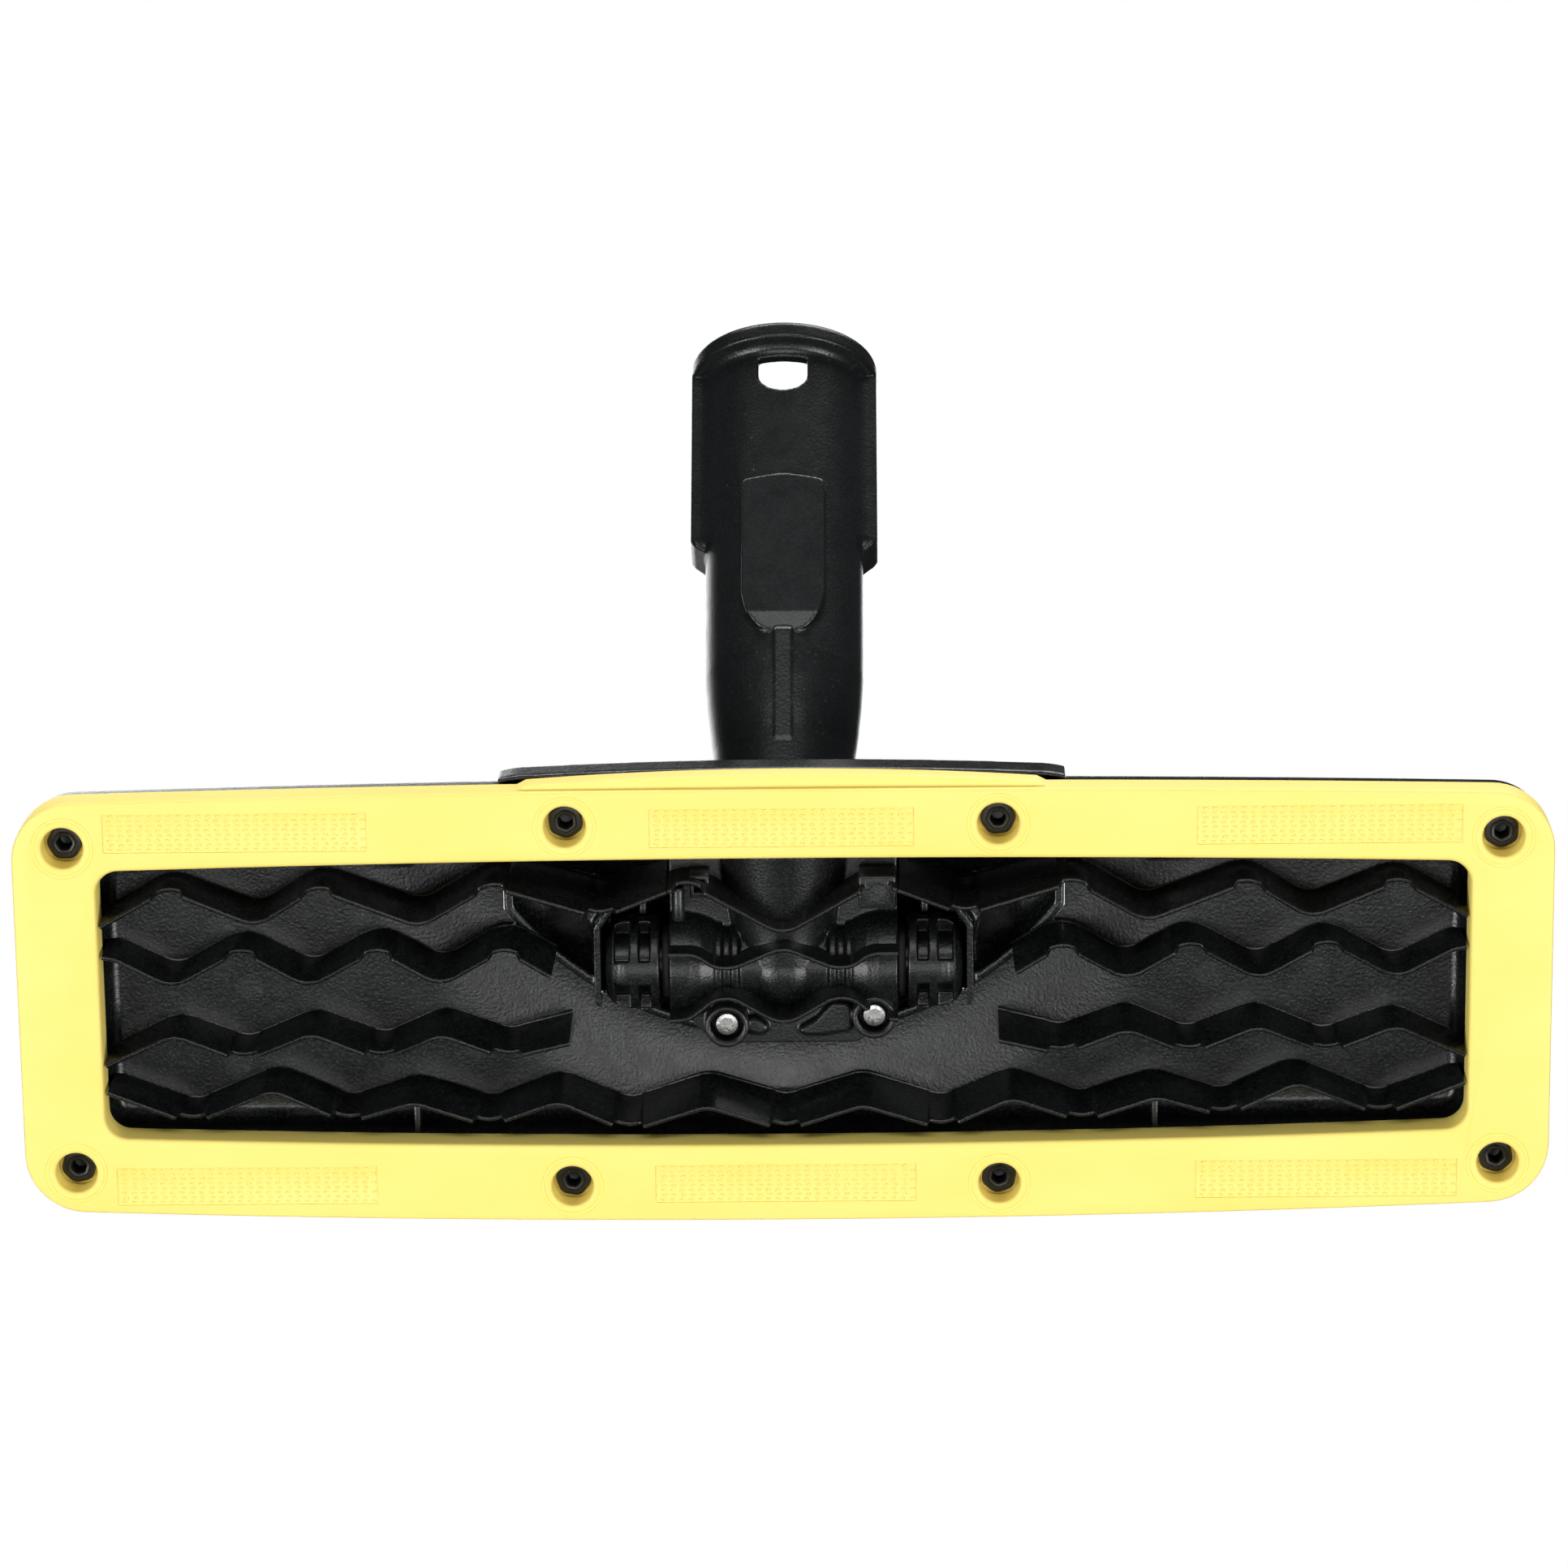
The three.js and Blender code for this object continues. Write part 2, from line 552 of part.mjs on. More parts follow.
function swingPin() {
  return cut(
    rod("y", PIN.radius, -PIN.half, PIN.half, [0, PIN_S]),
    rod("z", PIN.bore, PIN_S - 10, PIN_S + 10, [0, 0], 12),
  );
}

const pinWasher = (side) => {
  const ends = [side * (LUG.thick + GAP), side * (NECK.cheek - GAP)].sort((a, b) => a - b);
  return cut(rod("y", 8, ...ends, [0, PIN_S]), rod("y", PIN.radius + GAP, -20, 20, [0, PIN_S]));
};

// A lip seal between the knuckle's round tip and the neck's steam room.
const steamCup = () =>
  turned([[8.6, 46.9], [10.6, 46.9], [10.6, 51.5], [6.2, 51.5], [6.2, 50], [8.6, 50], [8.6, 46.9]], 20);

// ---- Neck --------------------------------------------------------------------------------------

function neckTube() {
  const { mouth, bore, floor, body, collar, cheek } = NECK;
  const room = 46;
  const tube = turned([[0, 22], [12.3, 22], [14.35, 45], [15.4, 54], [16, 62], [body, 129.2], [collar, 131.4],
    [collar, 133.4], [collar - 0.3, 133.7], [collar - 0.3, mouth - 0.6], [collar - 0.9, mouth],
    [bore, mouth], [bore - 0.2, floor], [5.4, floor], [5.4, 64], [11, 64], [11, room], [0, room]], 32);
  const fins = SIDES.map((side) => {
    const points = [[12.5, 90.6], [16.2, 90.8], [19.1, 92.8], [19.1, 132.4], [12.5, 132.4]];
    const outlineXZ = points.map(([x, z]) => [side * x, z]);
    return prismY(side > 0 ? outlineXZ : outlineXZ.reverse(), -7, 3.5);
  });
  const padOutline = [[-4.4, 65.6], [4.4, 65.6], [7.4, 69.5], [8.4, 74], [8.4, 100.2], [7, 101.6], [-7, 101.6],
    [-8.4, 100.2], [-8.4, 74], [-7.4, 69.5]];
  const pad = cut(
    prismY(padOutline, 9, 17.2),
    prismX([[14.5, 60], [20, 60], [20, 69], [17.4, 69]], -12, 12),
  );
  const stem = prismX([[10, 42], [14, 42], [16.8, 66], [10, 66]], -2.1, 2.1);
  const catchHole = [[-5, 129.8], [-5, 126]];
  for (let i = 1; i < 8; i++) {
    const turn = Math.PI * (1 + i / 8);
    catchHole.push([5 * Math.cos(turn), 126 + 4 * Math.sin(turn)]);
  }
  catchHole.push([5, 126], [5, 129.8]);
  const pinEnd = cut(
    box([-30, 30], [-30, 30], [0, PIN_S]),
    rod("y", 10, -40, 40, [0, PIN_S], 24),
  );
  return cut(
    join(tube, ...fins, pad, stem),
    rod("z", bore - 0.1, floor, mouth + 5, [0, 0], 32),
    rod("z", 11, room, 64, [0, 0], 32),
    box([-30, 30], [-cheek, cheek], [0, PIN_S]),
    rod("y", LUG.tip + 0.4, -cheek, cheek, [0, PIN_S], 36),
    rod("z", 8.5, PIN_S, room + 1, [0, 0], 20),
    pinEnd,
    rod("y", PIN.radius + GAP, -30, 30, [0, PIN_S]),
    prismY(catchHole, 9, 25),
  );
}

function steamSpigot() {
  const { radius, bore, tip, groove, grooveR, flange } = SPIGOT;
  const seat = NECK.floor + GAP;
  return turned([[bore, 60], [4.8, 60], [4.8, seat], [flange, seat], [flange, seat + 2], [radius, seat + 2.5],
    [radius, groove[0]], [grooveR, groove[0]], [grooveR, groove[1]], [radius, groove[1]], [radius, tip - 1],
    [radius - 1, tip], [bore, tip], [bore, 60]], 18);
}

const spigotSeal = () => {
  const middle = (SPIGOT.groove[0] + SPIGOT.groove[1]) / 2;
  return solid(new THREE.TorusGeometry(5.2, 0.95, 6, 18).translate(0, 0, middle));
};

// ---- Assembly ----------------------------------------------------------------------------------

const LOOKS = {
  black: { color: 0x1b1d1e, roughness: 0.55, metalness: 0 },
  neck: { color: 0x202426, roughness: 0.5, metalness: 0 },
  yellow: { color: 0xf7e244, roughness: 0.5, metalness: 0 },
  steel: { color: 0xc9ccce, roughness: 0.3, metalness: 1 },
  rubber: { color: 0x2a2a2a, roughness: 0.85, metalness: 0 },
  white: { color: 0xd8d8d2, roughness: 0.6, metalness: 0 },
};

function mesh(name, shape, look) {
  const { vertProperties, numProp, triVerts } = shape.getMesh();
  const position = [];
  for (let i = 0; i < vertProperties.length; i += numProp) position.push(...vertProperties.subarray(i, i + 3));
  const g = new THREE.BufferGeometry();
  g.setAttribute("position", new THREE.Float32BufferAttribute(position, 3));
  g.setIndex([...triVerts]);
  g.computeVertexNormals();
  const made = new THREE.Mesh(g, new THREE.MeshStandardMaterial(LOOKS[look]));
  made.name = name;
  return made;
}

const nozzle = new THREE.Group();
const headOrigin = new THREE.Group();
headOrigin.position.y = -ORIGIN_Y;
nozzle.add(headOrigin);

headOrigin.add(mesh("cloth_frame", clothFrame(), "yellow"));
headOrigin.add(mesh("head_body", headBody(), "black"));
headOrigin.add(mesh("hump_cover", humpCover(), "black"));
headOrigin.add(mesh("joint_cap", jointCap(), "black"));

RIVETS.forEach(([x, y], i) => {
  const rivet = mesh(`frame_rivet_${i + 1}`, frameRivet(), "black");
  rivet.position.set(x, y, 0);
  headOrigin.add(rivet);
});

for (const [side, [x, y]] of Object.entries(SCREWS)) {
  const screw = mesh(`cap_screw_${side}`, capScrew(), "steel");
  screw.position.set(x, y, 0);
  headOrigin.add(screw);
}

const tiltAxis = new THREE.Group();
tiltAxis.position.set(0, PIVOT.y, PIVOT.z);
headOrigin.add(tiltAxis);

for (const [side, sign] of [["left", 1], ["right", -1]]) {
  const bush = mesh(`trunnion_bush_${side}`, trunnionBush(), "black");
  const seal = mesh(`trunnion_seal_${side}`, trunnionSeal(), "rubber");
  seal.position.x = sign * 23.2;
  if (sign < 0) bush.rotation.z = Math.PI;
  tiltAxis.add(bush, seal);
}

const neckAxis = new THREE.Group();
neckAxis.rotation.x = THREE.MathUtils.degToRad(NECK_REST - 90);
tiltAxis.add(neckAxis);
neckAxis.add(
  mesh("knuckle", knuckle(), "black"),
  mesh("swing_pin", swingPin(), "steel"),
  mesh("pin_washer_lower", pinWasher(1), "white"),
  mesh("pin_washer_upper", pinWasher(-1), "white"),
  mesh("steam_cup_seal", steamCup(), "rubber"),
  mesh("neck_tube", neckTube(), "neck"),
  mesh("steam_spigot", steamSpigot(), "white"),
  mesh("spigot_seal", spigotSeal(), "rubber"),
);

export default nozzle;
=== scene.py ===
import math

import bmesh
import bpy
import numpy as np
from mathutils import Euler, Matrix, Vector


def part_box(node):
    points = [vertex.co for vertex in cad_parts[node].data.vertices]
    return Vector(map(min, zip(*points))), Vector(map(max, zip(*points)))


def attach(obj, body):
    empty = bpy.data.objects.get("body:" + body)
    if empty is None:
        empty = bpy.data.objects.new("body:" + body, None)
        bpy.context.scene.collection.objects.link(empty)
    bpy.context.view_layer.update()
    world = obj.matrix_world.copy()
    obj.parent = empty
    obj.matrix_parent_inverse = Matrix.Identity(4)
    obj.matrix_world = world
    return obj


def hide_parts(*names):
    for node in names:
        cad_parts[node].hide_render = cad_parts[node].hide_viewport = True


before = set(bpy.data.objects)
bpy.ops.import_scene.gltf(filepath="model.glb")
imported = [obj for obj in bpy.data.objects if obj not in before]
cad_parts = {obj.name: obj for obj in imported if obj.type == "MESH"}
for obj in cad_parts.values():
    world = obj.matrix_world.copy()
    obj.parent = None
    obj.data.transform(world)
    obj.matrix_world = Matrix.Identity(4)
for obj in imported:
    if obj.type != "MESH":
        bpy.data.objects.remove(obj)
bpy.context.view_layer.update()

# ---- Dimensions in millimetres, as in the CAD ---------------------------------------------------

SIDES = (1, -1)
PIVOT_Y, PIVOT_Z = 5, 15
NECK_REST = 43
FRAME = dict(half=150, front=-44.1, rear=44, front_r=3700, rear_r=6200, corner=12)
WINDOW = dict(half=133.8, front=-28.5, rear=30, front_r=3800, rear_r=5500, corner=4.5)
BODY = dict(half=149, front=-43.1, rear=43.5, front_r=3700, rear_r=6200, corner=11)
FRAME_H = 7
BULGE_HALF, BULGE_REAR, BULGE_R, BULGE_Z = 50, 46.5, 700, 1.8
RIVETS = [(x * a, y * b) for x in SIDES for y in SIDES for a, b in ((140, 33.3), (42.1, 36.8))]
COUNTERBORE_R, COUNTERBORE_DEPTH = 4.05, 5.7
BODY_BASE, EDGE_Z, SKIN = 7.3, 10.5, 2.4
ROOF_MIDDLE, ROOF_END = 20, 12.5
COVER_R, COVER_Y, COVER_HALF = 70, 57.4, 55.4
COVER_BASE, COVER_LIP, COVER_TOP, COVER_REAR_Z = 10.4, 18.6, 29, 15.6
COVER_SKIN, COVER_REAR_Y = 2, 46.4
APRON_Z, APRON_THICK = 7.3, 0.9
SPLIT_Z = 14.7
CAP_REACH = 22.4
SCREWS = {"left": (11.3, -5.7), "right": (-17.7, -4.1)}
SCREW_SEAT = 8.9
GAP = 0.3

# Turning points of the lamellae (x, y, notched) for x > 0, from the rear row to the front one.
ROW_REAR = [(0, 14.3, 0), (18.4, 24.8, 1), (35.5, 18.1, 1), (57, 24.6, 1), (70.9, 16.6, 0), (91, 24.4, 1),
            (102.9, 17, 0), (120.2, 24.3, 1), (133.3, 17, 0)]
ROW_UPPER = [(45.5, 6.2, 0), (54.6, 11.7, 1), (67.2, 4.6, 0), (79.6, 11.8, 1), (93, 4.5, 0), (106.3, 11.9, 1),
             (119.7, 4.6, 0), (130.8, 10.4, 0), (133.3, 10.8, 0)]
ROW_LOWER = [(42, -7.6, 0), (54.6, -10.5, 1), (67.3, -5.6, 0), (79.4, -10.7, 1), (92.8, -5.2, 0),
             (106.3, -10.7, 1), (119.9, -5.3, 0), (133.3, -11.5, 0)]
ROW_FRONT = [(0, -25.7, 1), (15.3, -20.8, 0), (31, -25.7, 1), (44.5, -19.6, 0), (58.4, -24.4, 1),
             (73, -19.6, 0), (86.5, -23.5, 1), (100.6, -16.8, 0), (117, -23.5, 1), (133.3, -17, 0)]

# ---- Places -------------------------------------------------------------------------------------
# Pieces are made about the head's middle, or about the tilt axis along the neck.

MM = 0.001
FRAME_LOW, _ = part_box("cloth_frame")
IN_HEAD = Matrix.Translation((0, FRAME_LOW.y - FRAME["front"] * MM, FRAME_LOW.z)) @ Matrix.Scale(MM, 4)
IN_PIVOT = IN_HEAD @ Matrix.Translation((0, PIVOT_Y, PIVOT_Z))
IN_NECK = IN_PIVOT @ Matrix.Rotation(math.radians(NECK_REST - 90), 4, "X")


def sag(x, radius):
    return x * x / (2 * radius)


def edges_at(plan, x, grow=0):
    """Front and rear y of a bowed outline at x, grown outwards by grow."""
    radius = max(plan["corner"] + grow, 0.5)
    reach = plan["half"] + grow - radius
    past = max(0.0, abs(x) - reach)
    lost = radius - math.sqrt(max(0.0, radius**2 - past**2))
    bow = min(abs(x), reach)
    front = plan["front"] - grow + sag(bow, plan["front_r"]) + lost
    rear = plan["rear"] + grow - sag(bow, plan["rear_r"]) - lost
    return front, rear


def stations_of(plan, grow=0, straight=60, corner=12):
    """Stations in x, even along the middle and closer round the corners."""
    radius = max(plan["corner"] + grow, 0.5)
    reach = plan["half"] + grow - radius
    half = [reach * i / straight for i in range(straight)]
    half += [reach + radius * math.sin(i / corner * math.pi / 2 * 0.995) for i in range(corner + 1)]
    return [-x for x in reversed(half[1:])] + half


def outline_of(plan, grow=0, bulged=False, straight=75):
    """The bowed outline, counter-clockwise. A bulged one takes in the raised middle of its rear edge."""
    xs = stations_of(plan, grow, straight)
    front = [(x, edges_at(plan, x, grow)[0]) for x in xs]
    rear = []
    for x in xs:
        y = edges_at(plan, x, grow)[1]
        if bulged and abs(x) < BULGE_HALF + grow:
            y = max(y, BULGE_REAR + grow - sag(x, BULGE_R))
        rear.append((x, y))
    return front + rear[::-1]


def roof_z(x):
    """Height of the inner roof."""
    share = min(1, abs(x) / WINDOW["half"])
    return ROOF_MIDDLE - (ROOF_MIDDLE - ROOF_END) * share**1.25


def funnel(x, y):
    """How far the inner roof rises towards the edge of the hump cover."""
    past = max(0.0, math.hypot(x, y - COVER_Y) - COVER_R)
    near = max(0.0, 1 - past / 20)
    return 1.9 * near * near * (3 - 2 * near)


# ---- Mesh tools ---------------------------------------------------------------------------------


def new_shape(points, faces, name="shape"):
    """A mesh object in millimetres with its faces turned outwards."""
    mesh = bpy.data.meshes.new(name)
    mesh.from_pydata([tuple(p) for p in points], [], faces)
    work = bmesh.new()
    work.from_mesh(mesh)
    bmesh.ops.remove_doubles(work, verts=work.verts, dist=1e-4)
    bmesh.ops.recalc_face_normals(work, faces=work.faces)
    work.to_mesh(mesh)
    work.free()
    shape = bpy.data.objects.new(name, mesh)
    bpy.context.scene.collection.objects.link(shape)
    return shape


def skin(rings, wrap=False):
    """A surface through rings of points with the same count, capped at its ends or wrapped round."""
    count = len(rings[0])
    points = [p for ring in rings for p in ring]
    faces = []
    for i in range(len(rings) if wrap else len(rings) - 1):
        a, b = i * count, (i + 1) % len(rings) * count
        for j in range(count):
            k = (j + 1) % count
            faces.append((a + j, a + k, b + k, b + j))
    if not wrap:
        last = (len(rings) - 1) * count
        faces.append(tuple(range(count - 1, -1, -1)))
        faces.append(tuple(range(last, last + count)))
    return new_shape(points, faces)


def rounded(points, radius, closed=True, steps=5):
    """A line of (x, y) points with its corners rounded; a point's third number is its own radius."""
    at = [Vector(p[:2]) for p in points]
    own = [p[2] if len(p) > 2 else radius for p in points]
    out = []
    for i, p in enumerate(at):
        if not closed and i in (0, len(at) - 1):
            out.append(tuple(p))
            continue
        a, b = at[i - 1] - p, at[(i + 1) % len(at)] - p
        turn = a.angle(b) if a.length > 1e-6 and b.length > 1e-6 else math.pi
        if own[i] <= 0 or turn > math.pi - 1e-3:
            out.append(tuple(p))
            continue
        reach = min(own[i] / math.tan(turn / 2), 0.48 * a.length, 0.48 * b.length)
        start, end = p + a.normalized() * reach, p + b.normalized() * reach
        middle = p + (a.normalized() + b.normalized()).normalized() * (reach / math.cos(turn / 2))
        first, last = start - middle, end - middle
        for k in range(steps + 1):
            arm = first.lerp(last, k / steps)
            out.append(tuple(middle + arm.normalized() * first.length))
    return out


def prism(points, low, high, axis="z"):
    """An outline drawn out along an axis; its two numbers are the other coordinates in X, Y, Z order."""
    order = {"x": (2, 0, 1), "y": (0, 2, 1), "z": (0, 1, 2)}[axis]
    rings = []
    for level in (low, high):
        rings.append([tuple((p[0], p[1], level)[k] for k in order) for p in points])
    return skin(rings)


def box(x, y, z, edge=0.0):
    shape = prism([(x[0], y[0]), (x[1], y[0]), (x[1], y[1]), (x[0], y[1])], z[0], z[1])
    return bevelled(shape, edge) if edge else shape


def stacked(outline, profile):
    """Outlines stacked by (grow, z), where outline(grow) gives the points."""
    return skin([[(x, y, z) for x, y in outline(grow)] for grow, z in profile])


def turned(profile, sides=64, at=(0, 0, 0), axis="z", radius_at=None):
    """A profile of (radius, height) points turned about an axis through at."""
    rings = []
    for r, h in profile:
        ring = []
        for j in range(sides):
            turn = 2 * math.pi * j / sides
            reach = r * (radius_at(turn) if radius_at else 1)
            u, v = reach * math.cos(turn), reach * math.sin(turn)
            ring.append({"z": (u, v, h), "x": (h, u, v), "y": (v, h, u)}[axis])
        rings.append([tuple(a + b for a, b in zip(p, at)) for p in ring])
    closed = profile[0] == profile[-1]
    return skin(rings[:-1], wrap=True) if closed else skin(rings)


def rod(radius, low, high, at=(0, 0, 0), axis="z", edge=0.3, sides=48):
    """A round bar with softened rims."""
    soft = min(edge, radius * 0.4)
    profile = [
        (0.0, low), (radius - soft, low), (radius - soft * 0.3, low + soft * 0.3), (radius, low + soft),
        (radius, high - soft), (radius - soft * 0.3, high - soft * 0.3), (radius - soft, high), (0.0, high),
    ]
    return turned(profile, sides, at, axis)


def ball(radius, at, squash=(1, 1, 1)):
    profile = []
    for i in range(25):
        turn = math.pi * i / 24 - math.pi / 2
        profile.append((radius * math.cos(turn), radius * math.sin(turn)))
    shape = turned(profile, 48)
    shape.data.transform(Matrix.Translation(at) @ Matrix.Diagonal((*squash, 1)))
    return shape


def settle(shape):
    """Applies the shape's modifiers."""
    graph = bpy.context.evaluated_depsgraph_get()
    mesh = bpy.data.meshes.new_from_object(shape.evaluated_get(graph))
    shape.modifiers.clear()
    shape.data = mesh
    return shape


def bevelled(shape, width, segments=2, angle=40):
    bevel = shape.modifiers.new("edge", "BEVEL")
    bevel.width = width
    bevel.segments = segments
    bevel.limit_method = "ANGLE"
    bevel.angle_limit = math.radians(angle)
    return settle(shape)


def combine(kind, shape, *others):
    """Joins, cuts or intersects shape with the others, which are used up."""
    for other in others:
        step = shape.modifiers.new("combine", "BOOLEAN")
        step.operation = kind
        step.solver = "MANIFOLD"
        step.object = other
    settle(shape)
    for other in others:
        bpy.data.objects.remove(other)
    return shape


def join(*shapes):
    return combine("UNION", *shapes)


def cut(*shapes):
    return combine("DIFFERENCE", *shapes)


def common(*shapes):
    return combine("INTERSECT", *shapes)


def gathered(*shapes):
    """The shapes as one mesh, without joining their surfaces."""
    work = bmesh.new()
    for shape in shapes:
        work.from_mesh(shape.data)
    for other in shapes[1:]:
        bpy.data.objects.remove(other)
    work.to_mesh(shapes[0].data)
    work.free()
    return shapes[0]


def moulded(shape, voxel, smooth=4):
    """Gives a joined shape the flowing fillets of a moulding."""
    remesh = shape.modifiers.new("mould", "REMESH")
    remesh.mode = "VOXEL"
    remesh.voxel_size = voxel
    soften = shape.modifiers.new("soften", "SMOOTH")
    soften.factor = 0.5
    soften.iterations = smooth
    return settle(shape)


def piece(shape, name, place, body, slot, look, *nodes, sharp=35):
    """Puts a finished shape into the row frame, on its body, in place of its CAD nodes."""
    shape.name = name
    shape.data.name = name
    shape.data.transform(place)
    shape.data.shade_smooth()
    if sharp:
        shape.data.set_sharp_from_angle(angle=math.radians(sharp))
    shape.data.materials.clear()
    shape.data.materials.append(look)
    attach(shape, body)
    if nodes:
        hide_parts(*nodes)
    return shape


# ---- Materials ----------------------------------------------------------------------------------


class Look:
    """A node material on object coordinates, with short calls to add its nodes."""

    def __init__(self, name):
        self.material = bpy.data.materials.new(name)
        self.material.use_nodes = True
        self.tree = self.material.node_tree
        self.shader = self.tree.nodes["Principled BSDF"]
        self.place = self.add("ShaderNodeTexCoord").outputs["Object"]

    def add(self, kind, **values):
        node = self.tree.nodes.new(kind)
        for key, value in values.items():
            setattr(node, key, value)
        return node

    def link(self, output, target):
        self.tree.links.new(output, target)

    def noise(self, size, detail=3.0, stretch=(1, 1, 1)):
        """Noise whose features are about size metres across."""
        scale = self.add("ShaderNodeMapping")
        scale.inputs["Scale"].default_value = stretch
        self.link(self.place, scale.inputs["Vector"])
        node = self.add("ShaderNodeTexNoise")
        node.inputs["Scale"].default_value = 1 / size
        node.inputs["Detail"].default_value = detail
        self.link(scale.outputs["Vector"], node.inputs["Vector"])
        return node.outputs["Fac"]

    def cells(self, size):
        """Distance to the nearest of a field of points about size metres apart."""
        node = self.add("ShaderNodeTexVoronoi")
        node.inputs["Scale"].default_value = 1 / size
        self.link(self.place, node.inputs["Vector"])
        return node.outputs["Distance"]

    def ranged(self, value, low, high, start=0.0, end=1.0):
        """value between low and high, drawn out to start and end."""
        node = self.add("ShaderNodeMapRange")
        node.inputs["From Min"].default_value = low
        node.inputs["From Max"].default_value = high
        node.inputs["To Min"].default_value = start
        node.inputs["To Max"].default_value = end
        self.link(value, node.inputs["Value"])
        return node.outputs["Result"]

    def blended(self, share, first, second):
        """A colour between first and second, each a colour or an output."""
        node = self.add("ShaderNodeMix", data_type="RGBA")
        self.link(share, node.inputs["Factor"])
        for socket, colour in (("A", first), ("B", second)):
            target = [s for s in node.inputs if s.name == socket and s.type == "RGBA"][0]
            if isinstance(colour, tuple):
                target.default_value = (*colour, 1)
            else:
                self.link(colour, target)
        return [s for s in node.outputs if s.type == "RGBA"][0]

    def bumped(self, height, depth, strength=1.0, under=None):
        """A normal with height's relief, depth metres deep."""
        node = self.add("ShaderNodeBump")
        node.inputs["Distance"].default_value = depth
        node.inputs["Strength"].default_value = strength
        self.link(height, node.inputs["Height"])
        if under is not None:
            self.link(under, node.inputs["Normal"])
        return node.outputs["Normal"]

    def edges(self):
        """How convex the surface is, for rubbed edges that also carry a painted highlight."""
        return self.add("ShaderNodeNewGeometry").outputs["Pointiness"]

    def done(self, colour, roughness, normal):
        self.link(colour, self.shader.inputs["Base Color"])
        self.link(roughness, self.shader.inputs["Roughness"])
        self.link(normal, self.shader.inputs["Normal"])
        return self.material


def moulded_plastic(name, dark, light, gloss, grain, depth):
    """Spark-eroded plastic: a fine pebbled grain, uneven sheen, rubbed edges lightened partly as a painted
    highlight, and stray dust.
    """
    look = Look(name)
    pebbles = look.noise(grain, 2.5)
    mottle = look.noise(0.009, 4)
    colour = look.blended(look.ranged(pebbles, 0.46, 0.64), dark, light)
    shade = look.blended(look.ranged(mottle, 0.35, 0.65), dark, light)
    mixed = look.blended(look.ranged(mottle, 0.2, 0.8, 0.1, 0.3), colour, shade)
    # Convex edges are lightened: partly rubbed wear, partly a painted highlight for the bright line along the
    # rib crests.
    rubbed_highlight_colour = tuple(min(1, c * 1.6 + 0.025) for c in light)
    edge_wear_and_highlight = look.blended(look.ranged(look.edges(), 0.53, 0.64, 0.0, 0.45), mixed, rubbed_highlight_colour)
    specks = look.ranged(look.cells(0.0042), 0.028, 0.02)
    chance = look.ranged(look.noise(0.012, 1), 0.56, 0.6)
    both = look.add("ShaderNodeMath", operation="MULTIPLY")
    look.link(specks, both.inputs[0])
    look.link(chance, both.inputs[1])
    edge_wear_and_highlight = look.blended(both.outputs["Value"], edge_wear_and_highlight, (0.25, 0.25, 0.25))
    roughness = look.ranged(look.noise(0.004, 5), 0.3, 0.7, gloss - 0.03, gloss + 0.03)
    relief = look.bumped(pebbles, depth, under=look.bumped(look.noise(0.006, 2), 0.00001))
    look.shader.inputs["Specular IOR Level"].default_value = 0.45
    return look.done(edge_wear_and_highlight, roughness, relief)


def yellow_plastic(name):
    """Bright moulded polypropylene, slightly soft to light, with faint flow marks."""
    look = Look(name)
    flow = look.noise(0.03, 3, (1, 2.5, 2.5))
    grain = look.noise(0.0005, 2)
    colour = look.blended(look.ranged(flow, 0.3, 0.7), (0.92, 0.735, 0.17), (0.94, 0.765, 0.2))
    scuffed = look.blended(look.ranged(look.noise(0.0016, 6), 0.66, 0.8, 0, 0.12), colour, (0.83, 0.72, 0.3))
    roughness = look.ranged(grain, 0.3, 0.7, 0.42, 0.56)
    look.shader.inputs["Subsurface Weight"].default_value = 0.03
    look.shader.inputs["Subsurface Radius"].default_value = (0.9, 0.7, 0.1)
    look.shader.inputs["Subsurface Scale"].default_value = 0.002
    return look.done(scuffed, roughness, look.bumped(grain, 0.000012))


def steel(name, light, gloss):
    look = Look(name)
    wear = look.noise(0.0012, 4)
    colour = look.blended(look.ranged(wear, 0.35, 0.75), light, tuple(c * 0.86 for c in light))
    look.shader.inputs["Metallic"].default_value = 1
    return look.done(colour, look.ranged(wear, 0.3, 0.7, gloss, gloss + 0.08), look.bumped(wear, 0.000001))


def rubber(name):
    look = Look(name)
    grain = look.noise(0.0003, 3)
    patches = look.ranged(look.noise(0.003, 4), 0.3, 0.7)
    colour = look.blended(patches, (0.018, 0.018, 0.018), (0.035, 0.035, 0.034))
    return look.done(colour, look.ranged(grain, 0.3, 0.7, 0.7, 0.88), look.bumped(grain, 0.00002))


def pale_plastic(name):
    look = Look(name)
    grain = look.noise(0.0005, 3)
    colour = look.blended(look.ranged(look.noise(0.004, 4), 0.3, 0.7), (0.66, 0.66, 0.62), (0.78, 0.78, 0.74))
    return look.done(colour, look.ranged(grain, 0.3, 0.7, 0.4, 0.55), look.bumped(grain, 0.000015))


